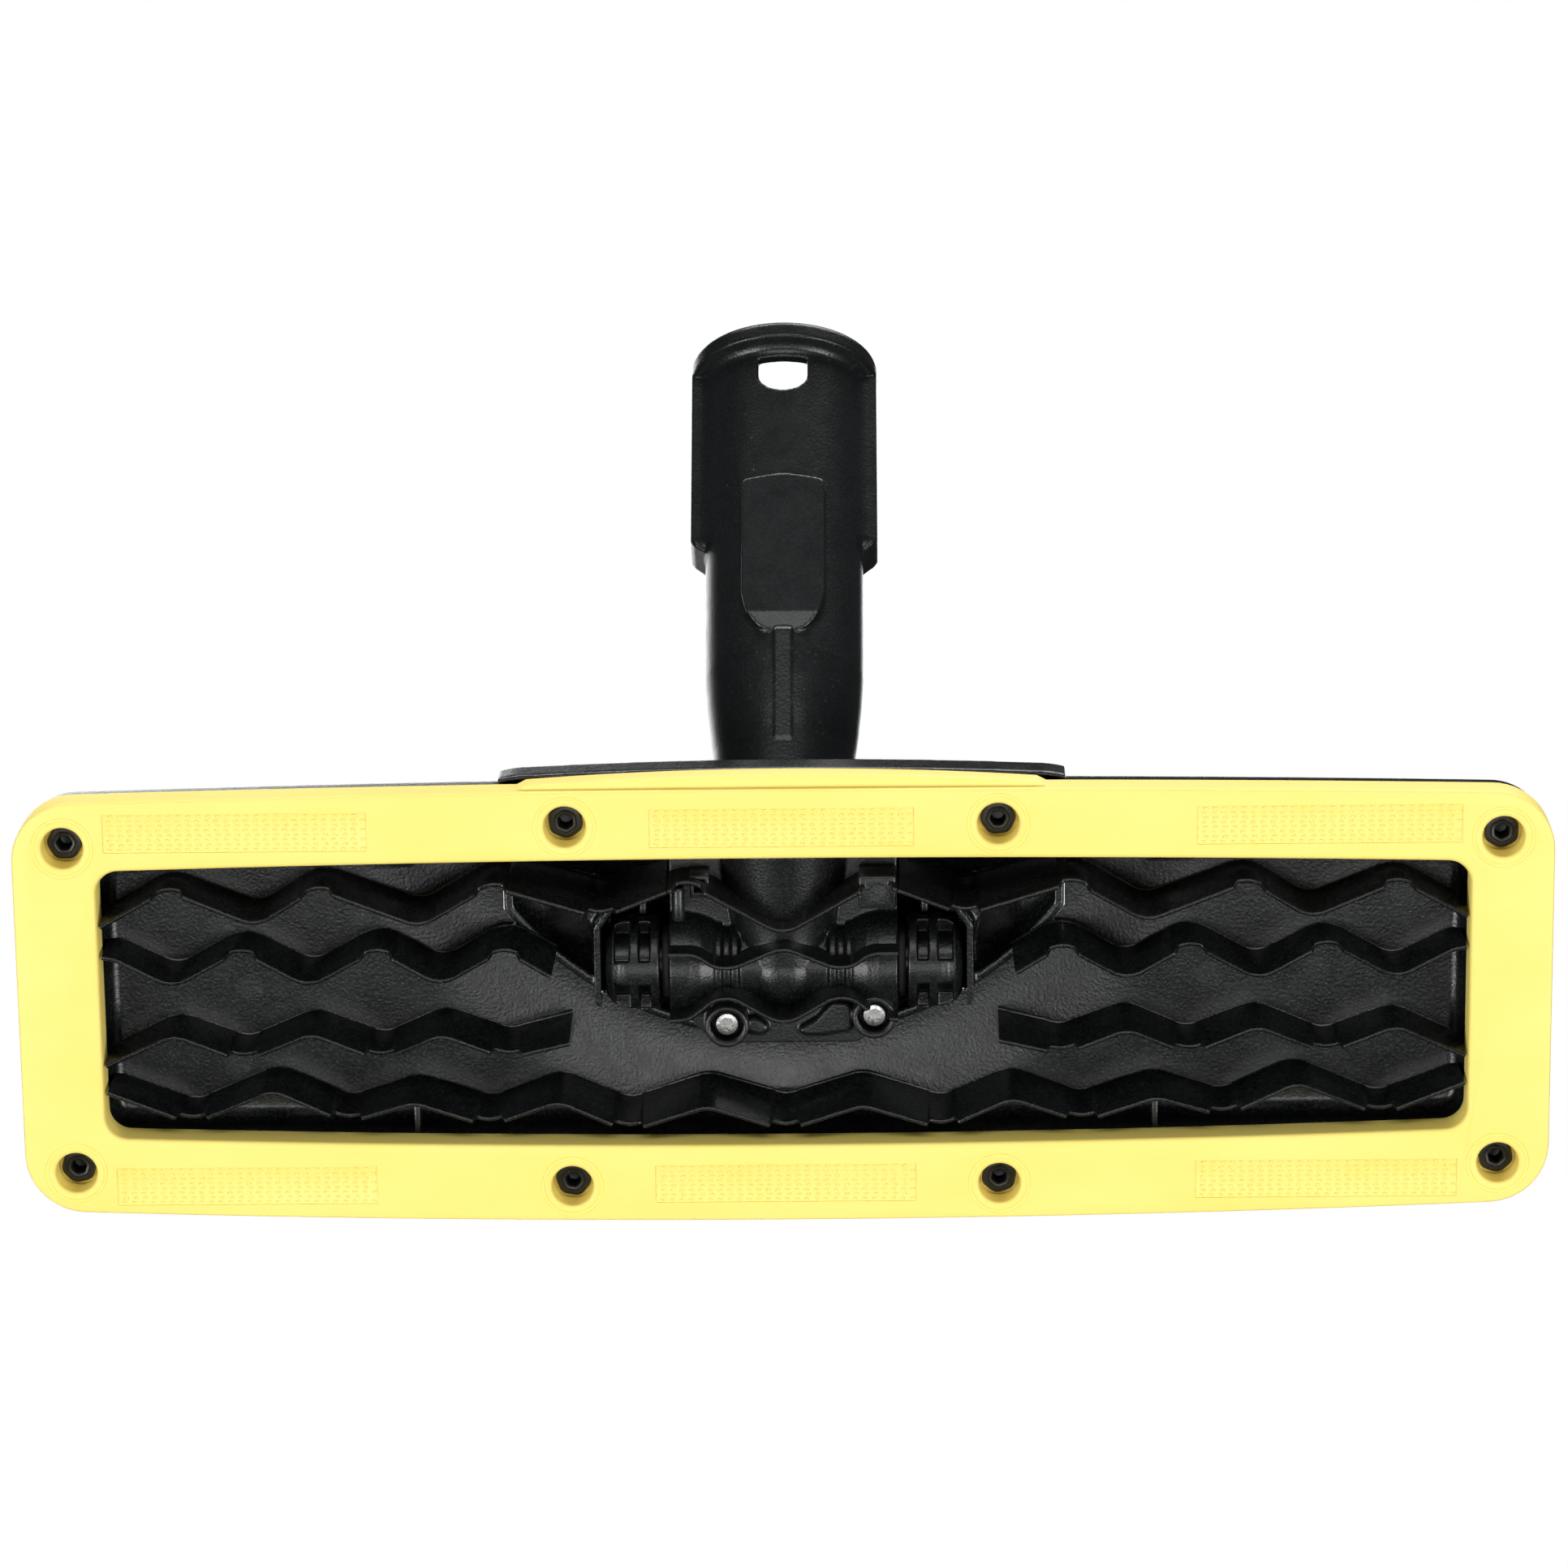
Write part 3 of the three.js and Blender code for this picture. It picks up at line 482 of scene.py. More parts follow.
YELLOW = yellow_plastic("lemon_plastic")
BLACK = moulded_plastic(
    "black_plastic", (0.0015, 0.0017, 0.0018), (0.015, 0.017, 0.0175), 0.26, 0.0006, 0.00005
)
CAP_BLACK = moulded_plastic(
    "cap_plastic", (0.002, 0.0023, 0.0024), (0.013, 0.0145, 0.015), 0.33, 0.0005, 0.00006
)
NECK_BLACK = moulded_plastic(
    "neck_plastic", (0.0045, 0.0055, 0.0058), (0.009, 0.0105, 0.011), 0.32, 0.0006, 0.00006
)
RIVET_BLACK = moulded_plastic(
    "rivet_plastic", (0.005, 0.005, 0.005), (0.01, 0.01, 0.01), 0.33, 0.0004, 0.00001
)
SCREW_STEEL = steel("screw_steel", (0.66, 0.66, 0.64), 0.24)
PIN_STEEL = steel("pin_steel", (0.62, 0.61, 0.59), 0.28)
RUBBER = rubber("seal_rubber")
PALE = pale_plastic("pale_plastic")

# ---- Cloth frame --------------------------------------------------------------------------------


def hook(x, y, side):
    """One little hook: a leaning stalk with a turned-over tip."""
    line = [(0, 0.34), (0.05, 0.24), (0.2, 0.1), (0.42, 0.05), (0.6, 0.12)]
    width = [(0.24, 0.3), (0.2, 0.26), (0.16, 0.22), (0.12, 0.18), (0.06, 0.14)]
    rings = []
    for (lean, z), (thick, wide) in zip(line, width):
        rings.append([(x + side * lean + a * thick, y + b * wide, z)
                      for a, b in ((-1, -1), (1, -1), (1, 1), (-1, 1))])
    points = [p for ring in rings for p in ring]
    faces = [(0, 1, 2, 3), (16, 17, 18, 19)]
    for i in range(4):
        for j in range(4):
            a, b = 4 * i + j, 4 * i + (j + 1) % 4
            faces.append((a, b, b + 4, a + 4))
    return points, faces


HOOK_FIELDS = [(x, side * (36.4 if x == 0 else 36.2)) for side in SIDES for x in (0, 106.3, -106.3)]
HOOK_LENGTH, HOOK_WIDTH, HOOK_DEPTH = 51.5, 7.8, 0.28
HOOK_COLUMNS, HOOK_ROWS = 27, 8
HOOK_PITCH_X, HOOK_PITCH_Y = 1.9, 0.96


def hook_fields():
    points, faces = [], []
    for x, y in HOOK_FIELDS:
        for column in range(HOOK_COLUMNS):
            for row in range(HOOK_ROWS):
                side = 1 if row % 2 else -1
                at_x = x + (column - HOOK_COLUMNS // 2 + (row % 2) / 2) * HOOK_PITCH_X
                at_y = y + (row - (HOOK_ROWS - 1) / 2) * HOOK_PITCH_Y
                more, sides = hook(at_x, at_y, side)
                faces += [tuple(len(points) + k for k in face) for face in sides]
                points += more
    return new_shape(points, faces)


def make_cloth_frame():
    rim = [(-0.5, 0), (-0.22, 0.06), (-0.06, 0.22), (0, 0.5), (0, FRAME_H - 0.4), (-0.3, FRAME_H)]
    shelf = [
        (-0.2, BULGE_Z), (-0.06, BULGE_Z + 0.06), (0, BULGE_Z + 0.2), (0, FRAME_H - 0.3), (-0.3, FRAME_H),
    ]
    plate = join(
        stacked(lambda grow: outline_of(FRAME, grow), rim),
        stacked(lambda grow: outline_of(FRAME, grow, bulged=True), shelf),
    )
    opening = [(1.0, -1), (1.0, -0.02), (0.55, 0.1), (0.2, 0.35), (0, 0.9), (0, 8)]
    tools = [stacked(lambda grow: outline_of(WINDOW, grow), opening)]
    trough = cut(
        stacked(lambda grow: outline_of(FRAME, grow), [(-1.9, 2.6), (-1.9, 8)]),
        stacked(lambda grow: outline_of(WINDOW, grow), [(1.9, 0), (1.9, 9)]),
        *[rod(COUNTERBORE_R + 1.9, 0, 9, (*at, 0), edge=0) for at in RIVETS],
    )
    tools.append(trough)
    lip = COUNTERBORE_R
    bore = [(0, -1), (lip + 0.7, -1), (lip + 0.7, 0), (lip + 0.35, 0.1), (lip + 0.1, 0.35), (lip, 0.8),
            (lip, COUNTERBORE_DEPTH), (2.2, COUNTERBORE_DEPTH), (2.2, 8), (0, 8)]
    ring = [(5.35, -0.5), (6.25, -0.5), (6.2, 0.02), (5.95, 0.2), (5.65, 0.2), (5.4, 0.02), (5.35, -0.5)]
    for x, y in RIVETS:
        tools += [turned(bore, 72, (x, y, 0)), turned(ring, 72, (x, y, 0))]
    for x, y in HOOK_FIELDS:
        across, along = HOOK_LENGTH / 2, HOOK_WIDTH / 2
        tools.append(box((x - across, x + across), (y - along, y + along), (-2, HOOK_DEPTH), edge=0.2))
    return gathered(cut(plate, *tools), hook_fields())


piece(make_cloth_frame(), "cloth_frame_look", IN_HEAD, "head", "frame_yellow", YELLOW, "cloth_frame")


def make_rivet(turn_by):
    """A push rivet with a rounded, faintly six-sided head, a raised collar and a blind bore."""
    def six(turn):
        return 1 + 0.028 * math.cos(6 * (turn + turn_by))
    head = [
        (0, 8.2), (1.2, 8.1), (1.34, 7.8), (1.42, 4.35), (1.6, 4.1), (1.95, 4.05), (2.15, 4.2), (2.3, 4.42),
        (3.0, 4.4), (3.25, 4.5), (3.38, 4.72), (3.4, 5.15), (3.3, 5.38), (1.9, 5.4), (1.9, 9.0), (1.6, 9.2),
        (0, 9.2),
    ]
    return turned(head, 72, radius_at=six)


for index, (x, y) in enumerate(RIVETS):
    rivet = make_rivet(math.radians(37 * index))
    place = IN_HEAD @ Matrix.Translation((x, y, 0))
    node = f"frame_rivet_{index + 1}"
    piece(rivet, f"{node}_look", place, "head", "rivet_black", RIVET_BLACK, node, sharp=28)

# ---- Lamellae ------------------------------------------------------------------------------------

NOTCH_HALF, NOTCH_DEPTH, NOTCH_RUN = 2.35, 3.4, 0.8
RIB_EDGE = 0.6
NOTCH_TOP = RIB_EDGE + NOTCH_DEPTH
RIB_HALF = 0.46
RIB_BEND = 6.0
RIB_OVERRUN = 3


def mirrored(points):
    return [(-x, *rest) for x, *rest in reversed(points) if x > 0] + list(points)


def rib_line(row):
    """A row's centre line with its bends rounded, in short even steps, as arrays of x and y."""
    bends = [(x, y) for x, y, _ in row]
    line = np.array(rounded(bends, RIB_BEND, closed=False, steps=8))
    steps = np.hypot(*np.diff(line, axis=0).T)
    along = np.concatenate([[0], np.cumsum(steps)])
    count = int(along[-1] / 0.3)
    even = np.linspace(0, along[-1], count)
    return np.interp(even, along, line[:, 0]), np.interp(even, along, line[:, 1])


def edge_height(row, x):
    """Height of the rib's free edge at x: higher inside the drain notches, with small rounded shoulders."""
    z = RIB_EDGE
    for bend_x, _, notched in row:
        if notched:
            past = (NOTCH_HALF + NOTCH_RUN - abs(x - bend_x)) / NOTCH_RUN
            share = min(1, max(0, past))
            z = max(z, RIB_EDGE + NOTCH_DEPTH * share * share * (3 - 2 * share))
    return z


def rib(row, top=None, keep=lambda x, y: True):
    """A lamella swept along its row: a rounded free edge, drafted flanks and a fillet into the roof."""
    xs, ys = rib_line(row)
    across = np.array([-np.gradient(ys), np.gradient(xs)])
    across /= np.hypot(*across)
    runs, run = [], []
    for x, y, nx, ny in zip(xs, ys, *across):
        if keep(x, y):
            run.append((x, y, nx, ny))
        elif run:
            runs.append(run)
            run = []
    runs.append(run)
    shapes = []
    for run in runs:
        if len(run) < 4:
            continue
        rings = []
        for x, y, nx, ny in run:
            low = edge_height(row, x)
            roof = top(x, y) if top else roof_z(x)
            foot = RIB_HALF + 0.03 * (roof - low)
            side = [(RIB_HALF * math.sin(t), low + RIB_HALF * (1 - math.cos(t)))
                    for t in np.linspace(0, math.pi / 2, 6)]
            side += [(foot, roof - 0.35), (foot + 0.1, roof - 0.12)]
            side += [(foot + 0.35, roof + 0.02), (foot + 0.35, roof + 2)]
            ring = side + [(-w, z) for w, z in reversed(side[1:])]
            rings.append([(x + w * nx, y + w * ny, z) for w, z in ring])
        shapes.append(skin(rings))
    return shapes


def both_sides(row):
    return [mirrored(row)] if row[0][0] == 0 else [row, [(-x, y, n) for x, y, n in reversed(row)]]


# ---- Head body ------------------------------------------------------------------------------------

SEAM, RIB_SEAM = 0.12, 0.02  # the visible joints round the hump cover, in the shell and in the ribs


def body_form(inset, base):
    """The outer form: an upright edge, then a rounded shoulder up to the top, shrunk by inset."""
    rings = []
    for full_x in stations_of(BODY, 0, 70, 14):
        x = full_x * (BODY["half"] - inset) / BODY["half"]
        front, rear = edges_at(BODY, x, -inset)
        end = min(1, max(0, (BODY["half"] - inset - abs(x)) / 14))
        rise = (roof_z(x) + SKIN - EDGE_Z) * math.sqrt(1 - (1 - end) ** 2) - inset
        top = EDGE_Z + max(0.6, rise)
        half = (rear - front) / 2

        def arc(depth):
            line = []
            for i in range(13):
                turn = i / 12 * math.pi / 2
                inward = min(depth, half * 0.96) * (1 - math.cos(turn))
                line.append((inward, EDGE_Z + (top - EDGE_Z) * math.sin(turn)))
            return line

        rear_side = [(rear - inward, z) for inward, z in arc(14)]
        front_side = [(front + inward, z) for inward, z in arc(12)]
        lip = [(front + 0.25, base), (rear - 0.25, base), (rear, base + 0.25)]
        ring = lip + rear_side + front_side[::-1] + [(front, base + 0.25)]
        rings.append([(x, y, z) for y, z in ring])
    return skin(rings)


def body_cavity(grow=0, rise=0, round_by=3.0):
    """The room inside the window, with rounded corners between its walls and the roof."""
    rings = []
    for x in stations_of(WINDOW, grow, 60, 10):
        front, rear = edges_at(WINDOW, x, grow)
        reach = WINDOW["half"] + grow
        end = max(0.0, 1 - (reach - abs(x)) / round_by)
        roof = roof_z(x) + rise - round_by * (1 - math.sqrt(max(0.0, 1 - min(1, end) ** 2)))
        soft = min(round_by, (rear - front) / 4)
        arc = [(soft * (1 - math.cos(t)), soft * (1 - math.sin(t))) for t in np.linspace(0, math.pi / 2, 8)]
        rear_side = [(rear - a, roof - b) for a, b in arc]
        front_side = [(front + a, roof - b) for a, b in arc]
        span = np.linspace(rear - soft, front + soft, 40)[1:-1]
        between = [(y, roof + (funnel(x, y) if rise == 0 else 0)) for y in span]
        ring = [(front, 5), (rear, 5)] + rear_side + between + front_side[::-1]
        rings.append([(x, y, z) for y, z in ring])
    return skin(rings)


def hump_bore(radius, low, half):
    return common(
        rod(radius, low, COVER_TOP + 20, (0, COVER_Y, 0), edge=0, sides=240),
        box((-half, half), (-80, 80), (-10, COVER_TOP + 30)),
    )


def outside_cover(x, y):
    """Whether the body's rib is swept here. It runs past the cover's edge and is cut there afterwards."""
    return abs(x) > COVER_HALF - RIB_OVERRUN or math.hypot(x, y - COVER_Y) > COVER_R - RIB_OVERRUN


def ejector_marks():
    """Shallow round marks of the mould's ejector pins on the inner roof."""
    spots = [(129, 20), (111, 13.5), (84, 15.5), (106, 0.5), (129, -7), (109, -15.5), (61, -13),
             (-82, 17.5), (-109, 16.5), (-105, 2.5), (-108.5, -13), (-61, -13), (-122, 18), (-84, 1)]
    marks = []
    for x, y in spots:
        z = roof_z(x) + funnel(x, y)
        tilt = (roof_z(x + 1) - roof_z(x - 1)) / 2
        mark = turned([(0, -0.07), (2.84, -0.07), (2.9, 0.0), (2.9, 0.4), (0, 0.4)], 48)
        lean = Euler((0, -math.atan(tilt), 0)).to_matrix().to_4x4()
        mark.data.transform(Matrix.Translation((x, y, z)) @ lean)
        marks.append(mark)
    return marks


def make_head_body():
    pocket = cut(
        body_form(2.2, BODY_BASE - 2),
        body_cavity(2, SKIN + 20, 0.5),
        *[rod(5, 0, 40, (*at, 0), edge=0) for at in RIVETS],
        box((-COVER_HALF - 2, COVER_HALF + 2), (WINDOW["rear"], BODY["rear"] + 5), (0, 40)),
    )
    beyond_bar = box((-80, 80), (WINDOW["rear"] + 0.4, 80), (-20, COVER_BASE + 1))
    shell = cut(
        body_form(0, BODY_BASE),
        body_cavity(),
        pocket,
        hump_bore(COVER_R + SEAM, COVER_BASE - GAP, COVER_HALF + SEAM),
        cut(hump_bore(COVER_R + SEAM, -5, COVER_HALF + SEAM), beyond_bar),
        *[rod(2.2, 0, 9.5, (*at, 0), edge=0) for at in RIVETS],
    )
    ribs = []
    for row in (ROW_REAR, ROW_UPPER, ROW_LOWER, ROW_FRONT):
        free_below = -5 if row is ROW_REAR else COVER_LIP - GAP
        for line in both_sides(row):
            for shape in rib(line, keep=outside_cover):
                ribs.append(cut(shape, hump_bore(COVER_R + RIB_SEAM, free_below, COVER_HALF + RIB_SEAM)))
    gussets = [box((s * 73 - 0.55, s * 73 + 0.55), (-29, -20), (8.2, 18.6), edge=0.25) for s in SIDES]
    return gathered(shell, *ribs, *gussets, *ejector_marks())


piece(make_head_body(), "head_body_look", IN_HEAD, "head", "head_black", BLACK, "head_body")

# ---- Hump cover -----------------------------------------------------------------------------------


def cover_form(inset):
    """The cover's outer form, or the room inside it when inset is above 0."""
    half = COVER_HALF - inset
    drop = 6 if inset else 0
    rings = []
    for x in np.linspace(-half, half, 121):
        front = COVER_Y - math.sqrt((COVER_R - inset) ** 2 - x * x)
        rear = COVER_REAR_Y - inset - sag(x, 1100) - 0.15 * max(0, abs(x) - 52.3)
        edge = max(roof_z(x) + SKIN + 0.8, COVER_REAR_Z)
        peak = edge + (COVER_TOP - edge) * math.sqrt(max(0, 1 - (x / (COVER_HALF + 2)) ** 2))
        ridge = front + (rear - front) * 0.32
        soft = 0.5
        step = max(WINDOW["rear"] + 0.6 + inset, front + 1)
        ring = [(front, COVER_LIP - drop), (step, COVER_LIP - drop), (step, COVER_BASE - drop)]
        if inset:
            ring += [(rear, COVER_BASE - drop), (rear, COVER_REAR_Z - inset - 1.3)]
        else:
            ring += [(rear - APRON_THICK, COVER_BASE), (rear - APRON_THICK, APRON_Z + 0.2),
                     (rear - APRON_THICK + 0.2, APRON_Z), (rear - soft, APRON_Z), (rear, APRON_Z + soft),
                     (rear, COVER_REAR_Z - 1.3)]
        for share in np.linspace(0, 1, 24):
            rise = 0.5 - 0.5 * math.cos(share * math.pi)
            y = rear - 1.1 + (ridge - rear + 1.1) * share
            ring.append((y, COVER_REAR_Z + (peak - COVER_REAR_Z) * rise - inset))
        for turn in np.linspace(0, math.pi / 2, 16)[1:]:
            y = ridge + (front - ridge) * math.sin(turn)
            ring.append((y, edge + (peak - edge) * math.cos(turn) - inset))
        rings.append([(x, y, z) for y, z in ring])
    return skin(rings)


def joint_room():
    """Room kept free round the cross-barrel and its bushes."""
    at = (0, PIVOT_Y, PIVOT_Z)
    rooms = [rod(7.4, -24, 24, at, "x", 0)]
    for side in SIDES:
        low, high = sorted((side * 23.9, side * 35.5))
        rooms.append(rod(9.6, low, high, at, "x", 0))
    return rooms


def screw_posts(radius, low, high, edge=0.0):
    return [rod(radius, low, high, (x, y, 0), edge=edge, sides=48) for x, y in SCREWS.values()]


def web(side):
    """The curved corner web between a rear lamella and the wall round a bush."""
    line = [(36.4, 19.5), (44.5, 21.3), (40.6, 17.4), (38.3, 13.2), (37.2, 7), (36.4, 7)]
    outline = rounded([(side * x, y) for x, y in line], 1.5)
    return prism(outline, 12.5, 40)


def make_hump_cover():
    walls = []
    for side in SIDES:
        line = [(36.0, -7), (36.0, 13.6), (32.6, 18.4), (33.6, 19.4), (37.3, 14.2), (37.3, -7)]
        walls.append(prism([(side * x, y) for x, y in line], 7.6, 40))
        walls.append(web(side))
        for x in (27, 32.4):
            walls.append(box(sorted((side * x, side * (x + 1.6))), (-5.5, 18), (SPLIT_Z + GAP, 40), edge=0.3))
    walls += screw_posts(3.2, SPLIT_Z + GAP, 40)

    def carved(shape):
        return cut(
            shape,
            *joint_room(),
            box((-14, 14), (-1, 39.5), (COVER_BASE - 3, 60)),
            box((-10, 10), (-5, 39.5), (COVER_BASE - 3, 60)),
            *screw_posts(1.8, 10, 24.5),
        )

    def inside(shape):
        lowered = join(cover_form(0), box((-60, 60), (-60, WINDOW["rear"] - 0.6), (-5, COVER_LIP + 1)))
        return common(shape, lowered, hump_bore(COVER_R - 0.1, -5, COVER_HALF))

    shell = cut(cover_form(0), cover_form(COVER_SKIN))
    form = moulded(carved(join(shell, inside(join(*walls)))), 0.4, 4)
    ribs = rib(mirrored(ROW_REAR), top=lambda x, y: 23, keep=lambda x, y: CAP_REACH < abs(x) < COVER_HALF + 1)
    return gathered(form, carved(inside(join(*ribs))))


piece(make_hump_cover(), "hump_cover_look", IN_HEAD, "head", "cover_black", BLACK, "hump_cover", sharp=50)

# ---- Cap under the joint ---------------------------------------------------------------------------

CAP_REAR = 29.5
CAP_UPPER = [(0, 11.8, 0), (9.5, 7.7, 0), (13.3, 7.6, 0), (17, 10.4, 0), (22.4, 10.4, 0)]
CAP_LOWER = [(0, -4.3, 0), (9.7, 1.4, 0), (13.5, 1.3, 0), (18.6, -2.9, 0), (22.4, -3.1, 0)]


def saddle(inset=0.0, reach=CAP_REAR):
    """A half-round channel along Y that narrows towards the pivot and ends there in a dome."""
    near, far = 10.2 - inset, 13.3 - inset
    line = [(0, PIVOT_Y), (near, PIVOT_Y), (near + 0.4, PIVOT_Y + 6), (far, CAP_REAR), (far, reach + 0.01),
            (0, reach + 0.01)]
    return join(turned(line, 128, (0, 0, 16.5), "y"), ball(near, (0, PIVOT_Y, 16.5)))


def kidney(points):
    """A solid tongue with a soft rim beside a screw."""
    return bevelled(prism(rounded(points, 1.6), 8.0, 13), 0.7, 3)


def boss(x, y):
    """The collar round a sunk screw, with a crisp rim."""
    line = [(3.25, 12.5), (3.25, 5.3), (3.4, 5.05), (3.7, 5.0), (4.1, 5.05), (4.27, 5.3), (4.3, 12.5)]
    line.append(line[0])
    return turned(line, 72, (x, y, 0))


def cap_room():
    """The space that the cap may fill."""
    return box((-CAP_REACH, CAP_REACH), (-40, CAP_REAR), (-5, SPLIT_Z))


def make_joint_cap():
    at = (0, PIVOT_Y, PIVOT_Z)
    half = [(7.9, 0), (7.8, 8.6), (8.7, 9.0), (8.7, 10.2), (8.0, 10.6), (8.0, 11.9), (8.9, 12.3), (8.9, 13.3),
            (9.3, 13.7), (10.4, 16.2), (11.0, 19), (11.0, CAP_REACH)]
    mirror_half = [(r, -x) for r, x in half[:0:-1]]
    arms = turned([(0, -CAP_REACH)] + mirror_half + half + [(0, CAP_REACH)], 96, at, "x")
    dome = ball(10.4, (0, 4.2, 16.5), (0.95, 1, 1))
    line = [(-CAP_REACH, -6), (-14, -10.6), (12, -10.6), (18, -7), (18, 3), (-CAP_REACH, 3)]
    plate = prism(rounded(line, 2), 10, 12.6)
    shelves = [box(sorted((s * 8.8, s * CAP_REACH)), (PIVOT_Y, CAP_REAR), (12.7, SPLIT_Z)) for s in SIDES]
    pockets = [
        kidney([
            (-2.4, -7.4), (-6.2, -5.2), (-9.4, -1.6), (-13.2, -1.8), (-13.6, -7.6), (-8, -8.6), (-4, -8.6),
        ]),
        kidney([(2.6, -7.0), (6.6, -3.6), (8.4, -7.8), (4.6, -8.6)]),
    ]

    def carved(shape):
        return cut(
            shape,
            saddle(2, 31),
            *joint_room(),
            *screw_posts(3.25, 0, 9.2),
            *screw_posts(1.8, 0, 20),
        )

    whole = join(saddle(), arms, dome, plate, *pockets, *shelves, *screw_posts(4.2, 5.6, 13.3, 0.4))
    form = moulded(carved(common(whole, cap_room())), 0.25, 4)
    ribs = rib(mirrored(ROW_REAR), top=lambda x, y: 14, keep=lambda x, y: abs(x) < CAP_REACH)
    for row in (CAP_UPPER, CAP_LOWER):
        ribs += rib(mirrored(row), top=lambda x, y: 13.5, keep=lambda x, y: abs(x) < CAP_REACH)
    mark = turned([(1.7, 3.2), (1.95, 3.2), (1.95, 4.2), (1.7, 4.2), (1.7, 3.2)], 48, (-18.6, 21.9, 0))
    block = cut(box((-22.2, -14.8), (18.6, 25.2), (NOTCH_TOP, 14), edge=0.4), mark)
    hollow = box((15.2, 17.4), (21.4, 24.2), (5, 10))
    pocket = cut(box((14.4, 18.2), (20.4, 25.0), (6.5, 14), edge=0.3), hollow)
    post = join(rod(1.25, 16.2, 23, (20.4, 0, 5.2), "y", 0.8), box((19.6, 21.2), (16.8, 23), (5.2, 14)))
    trimmed = carved(common(join(*ribs, block, pocket, post), cap_room()))
    return gathered(form, trimmed, *[boss(*at) for at in SCREWS.values()])


piece(make_joint_cap(), "joint_cap_look", IN_HEAD, "head", "cap_black", CAP_BLACK, "joint_cap", sharp=50)


def make_screw():
    """A pan-head screw with a six-lobed socket, and threads cut down its shank."""
    head, seat = 2.6, SCREW_SEAT
    bottom = seat - 2.1
    line = [
        (0, bottom + 0.06), (1.5, bottom), (2.1, bottom + 0.12), (2.45, bottom + 0.45), (head, bottom + 0.95),
        (head, seat), (1.5, seat),
    ]
    z = seat + 1
    while z < 22.6:
        line += [(1.5, z - 0.2), (1.28, z)]
        z += 0.5
    body = turned(line + [(1.2, 23), (0.4, 23.5), (0, 23.5)], 64)
    lobes = [(r * math.cos(t), r * math.sin(t)) for t in np.linspace(0, 2 * math.pi, 73)[:-1]
             for r in [1.3 + 0.24 * math.cos(6 * t)]]
    return cut(body, prism(lobes, bottom - 1, bottom + 1.25))


for side, (x, y) in SCREWS.items():
    place = IN_HEAD @ Matrix.Translation((x, y, 0)) @ Matrix.Rotation(math.radians(x), 4, "Z")
    node = f"cap_screw_{side}"
    piece(make_screw(), f"{node}_look", place, "head", "screw_steel", SCREW_STEEL, node, sharp=30)

# ---- Joint pieces ----------------------------------------------------------------------------------


def make_bush():
    """A cored bush: a sleeve in a bullet-shaped cage of rings and bars."""
    low, high = 24.4, 35.2
    body = turned([(0, low), (9.0, low), (9.3, low + 0.3), (9.3, 30.8), (9.0, 32.4), (8.2, 33.8), (7.0, 34.8),
                   (6.0, high), (0, high)], 96, axis="x")
    windows = []
    for start, end in ((26.2, 28.6), (30.2, 33.4)):
        for middle in (45, 135, 225, 315):
            turns = [math.radians(middle + turn) for turn in range(-30, 31, 6)]
            outer = [(14 * math.cos(t), 14 * math.sin(t)) for t in turns]
            inner = [(6.4 * math.cos(t), 6.4 * math.sin(t)) for t in reversed(turns)]
            windows.append(prism(outer + inner, start, end, "x"))
    carved = cut(body, *windows, rod(5.3, 0, 60, axis="x", edge=0))
    return moulded(carved, 0.22, 3)


for name, sign in (("left", 1), ("right", -1)):
    place = IN_PIVOT if sign > 0 else IN_PIVOT @ Matrix.Rotation(math.pi, 4, "Z")
    node = f"trunnion_bush_{name}"
    piece(make_bush(), f"{node}_look", place, "head", "bush_black", CAP_BLACK, node, sharp=0)


def make_ring(radius, thick, at, axis):
    """A round-section seal with a faint parting ridge."""
    line = []
    for turn in np.linspace(0, 2 * math.pi, 25):
        reach = thick * (1.04 if abs(math.sin(turn)) < 0.1 else 1)
        line.append((radius + reach * math.cos(turn), reach * math.sin(turn)))
    line[-1] = line[0]
    return turned([(r, h + at) for r, h in line], 72, axis=axis)


for name, sign in (("left", 1), ("right", -1)):
    node = f"trunnion_seal_{name}"
    ring = make_ring(6.45, 0.78, sign * 23.2, "x")
    piece(ring, f"{node}_look", IN_PIVOT, "head", "seal_rubber", RUBBER, node)

PIN_S = 32


def make_knuckle():
    whole = join(
        rod(6.8, -22, 22, axis="x", edge=0.5),
        rod(5, -33.5, 33.5, axis="x", edge=0.4),
        box((-9, 9), (-5.4, 5.4), (0, PIN_S), edge=0.6),
        rod(11, -5.4, 5.4, (0, 0, PIN_S), "y", 0.5, 96),
    )
    carved = cut(
        whole,
        rod(4.8, -20, 20, (0, 0, PIN_S), "y", 0, 72),
        rod(2.5, -60, 60, axis="x", edge=0),
        rod(2.2, 0, 60, edge=0),
    )
    return moulded(carved, 0.35, 3)


piece(make_knuckle(), "knuckle_look", IN_NECK, "knuckle", "knuckle_black", CAP_BLACK, "knuckle", sharp=0)


def make_pin():
    pin = rod(4.5, -12.2, 12.2, (0, 0, PIN_S), "y", 0.5, 72)
    return cut(pin, rod(2, PIN_S - 10, PIN_S + 10, edge=0))


piece(make_pin(), "swing_pin_look", IN_NECK, "neck", "pin_steel", PIN_STEEL, "swing_pin")

for name, sign in (("lower", 1), ("upper", -1)):
    node = f"pin_washer_{name}"
    low, high = sorted((sign * 5.7, sign * 6.2))
    line = [(4.8, low), (7.9, low), (8.0, low + 0.1), (8.0, high - 0.1), (7.9, high), (4.8, high), (4.8, low)]
    washer = turned(line, 72, (0, 0, PIN_S), "y")
    piece(washer, f"{node}_look", IN_NECK, "knuckle", "washer_white", PALE, node)

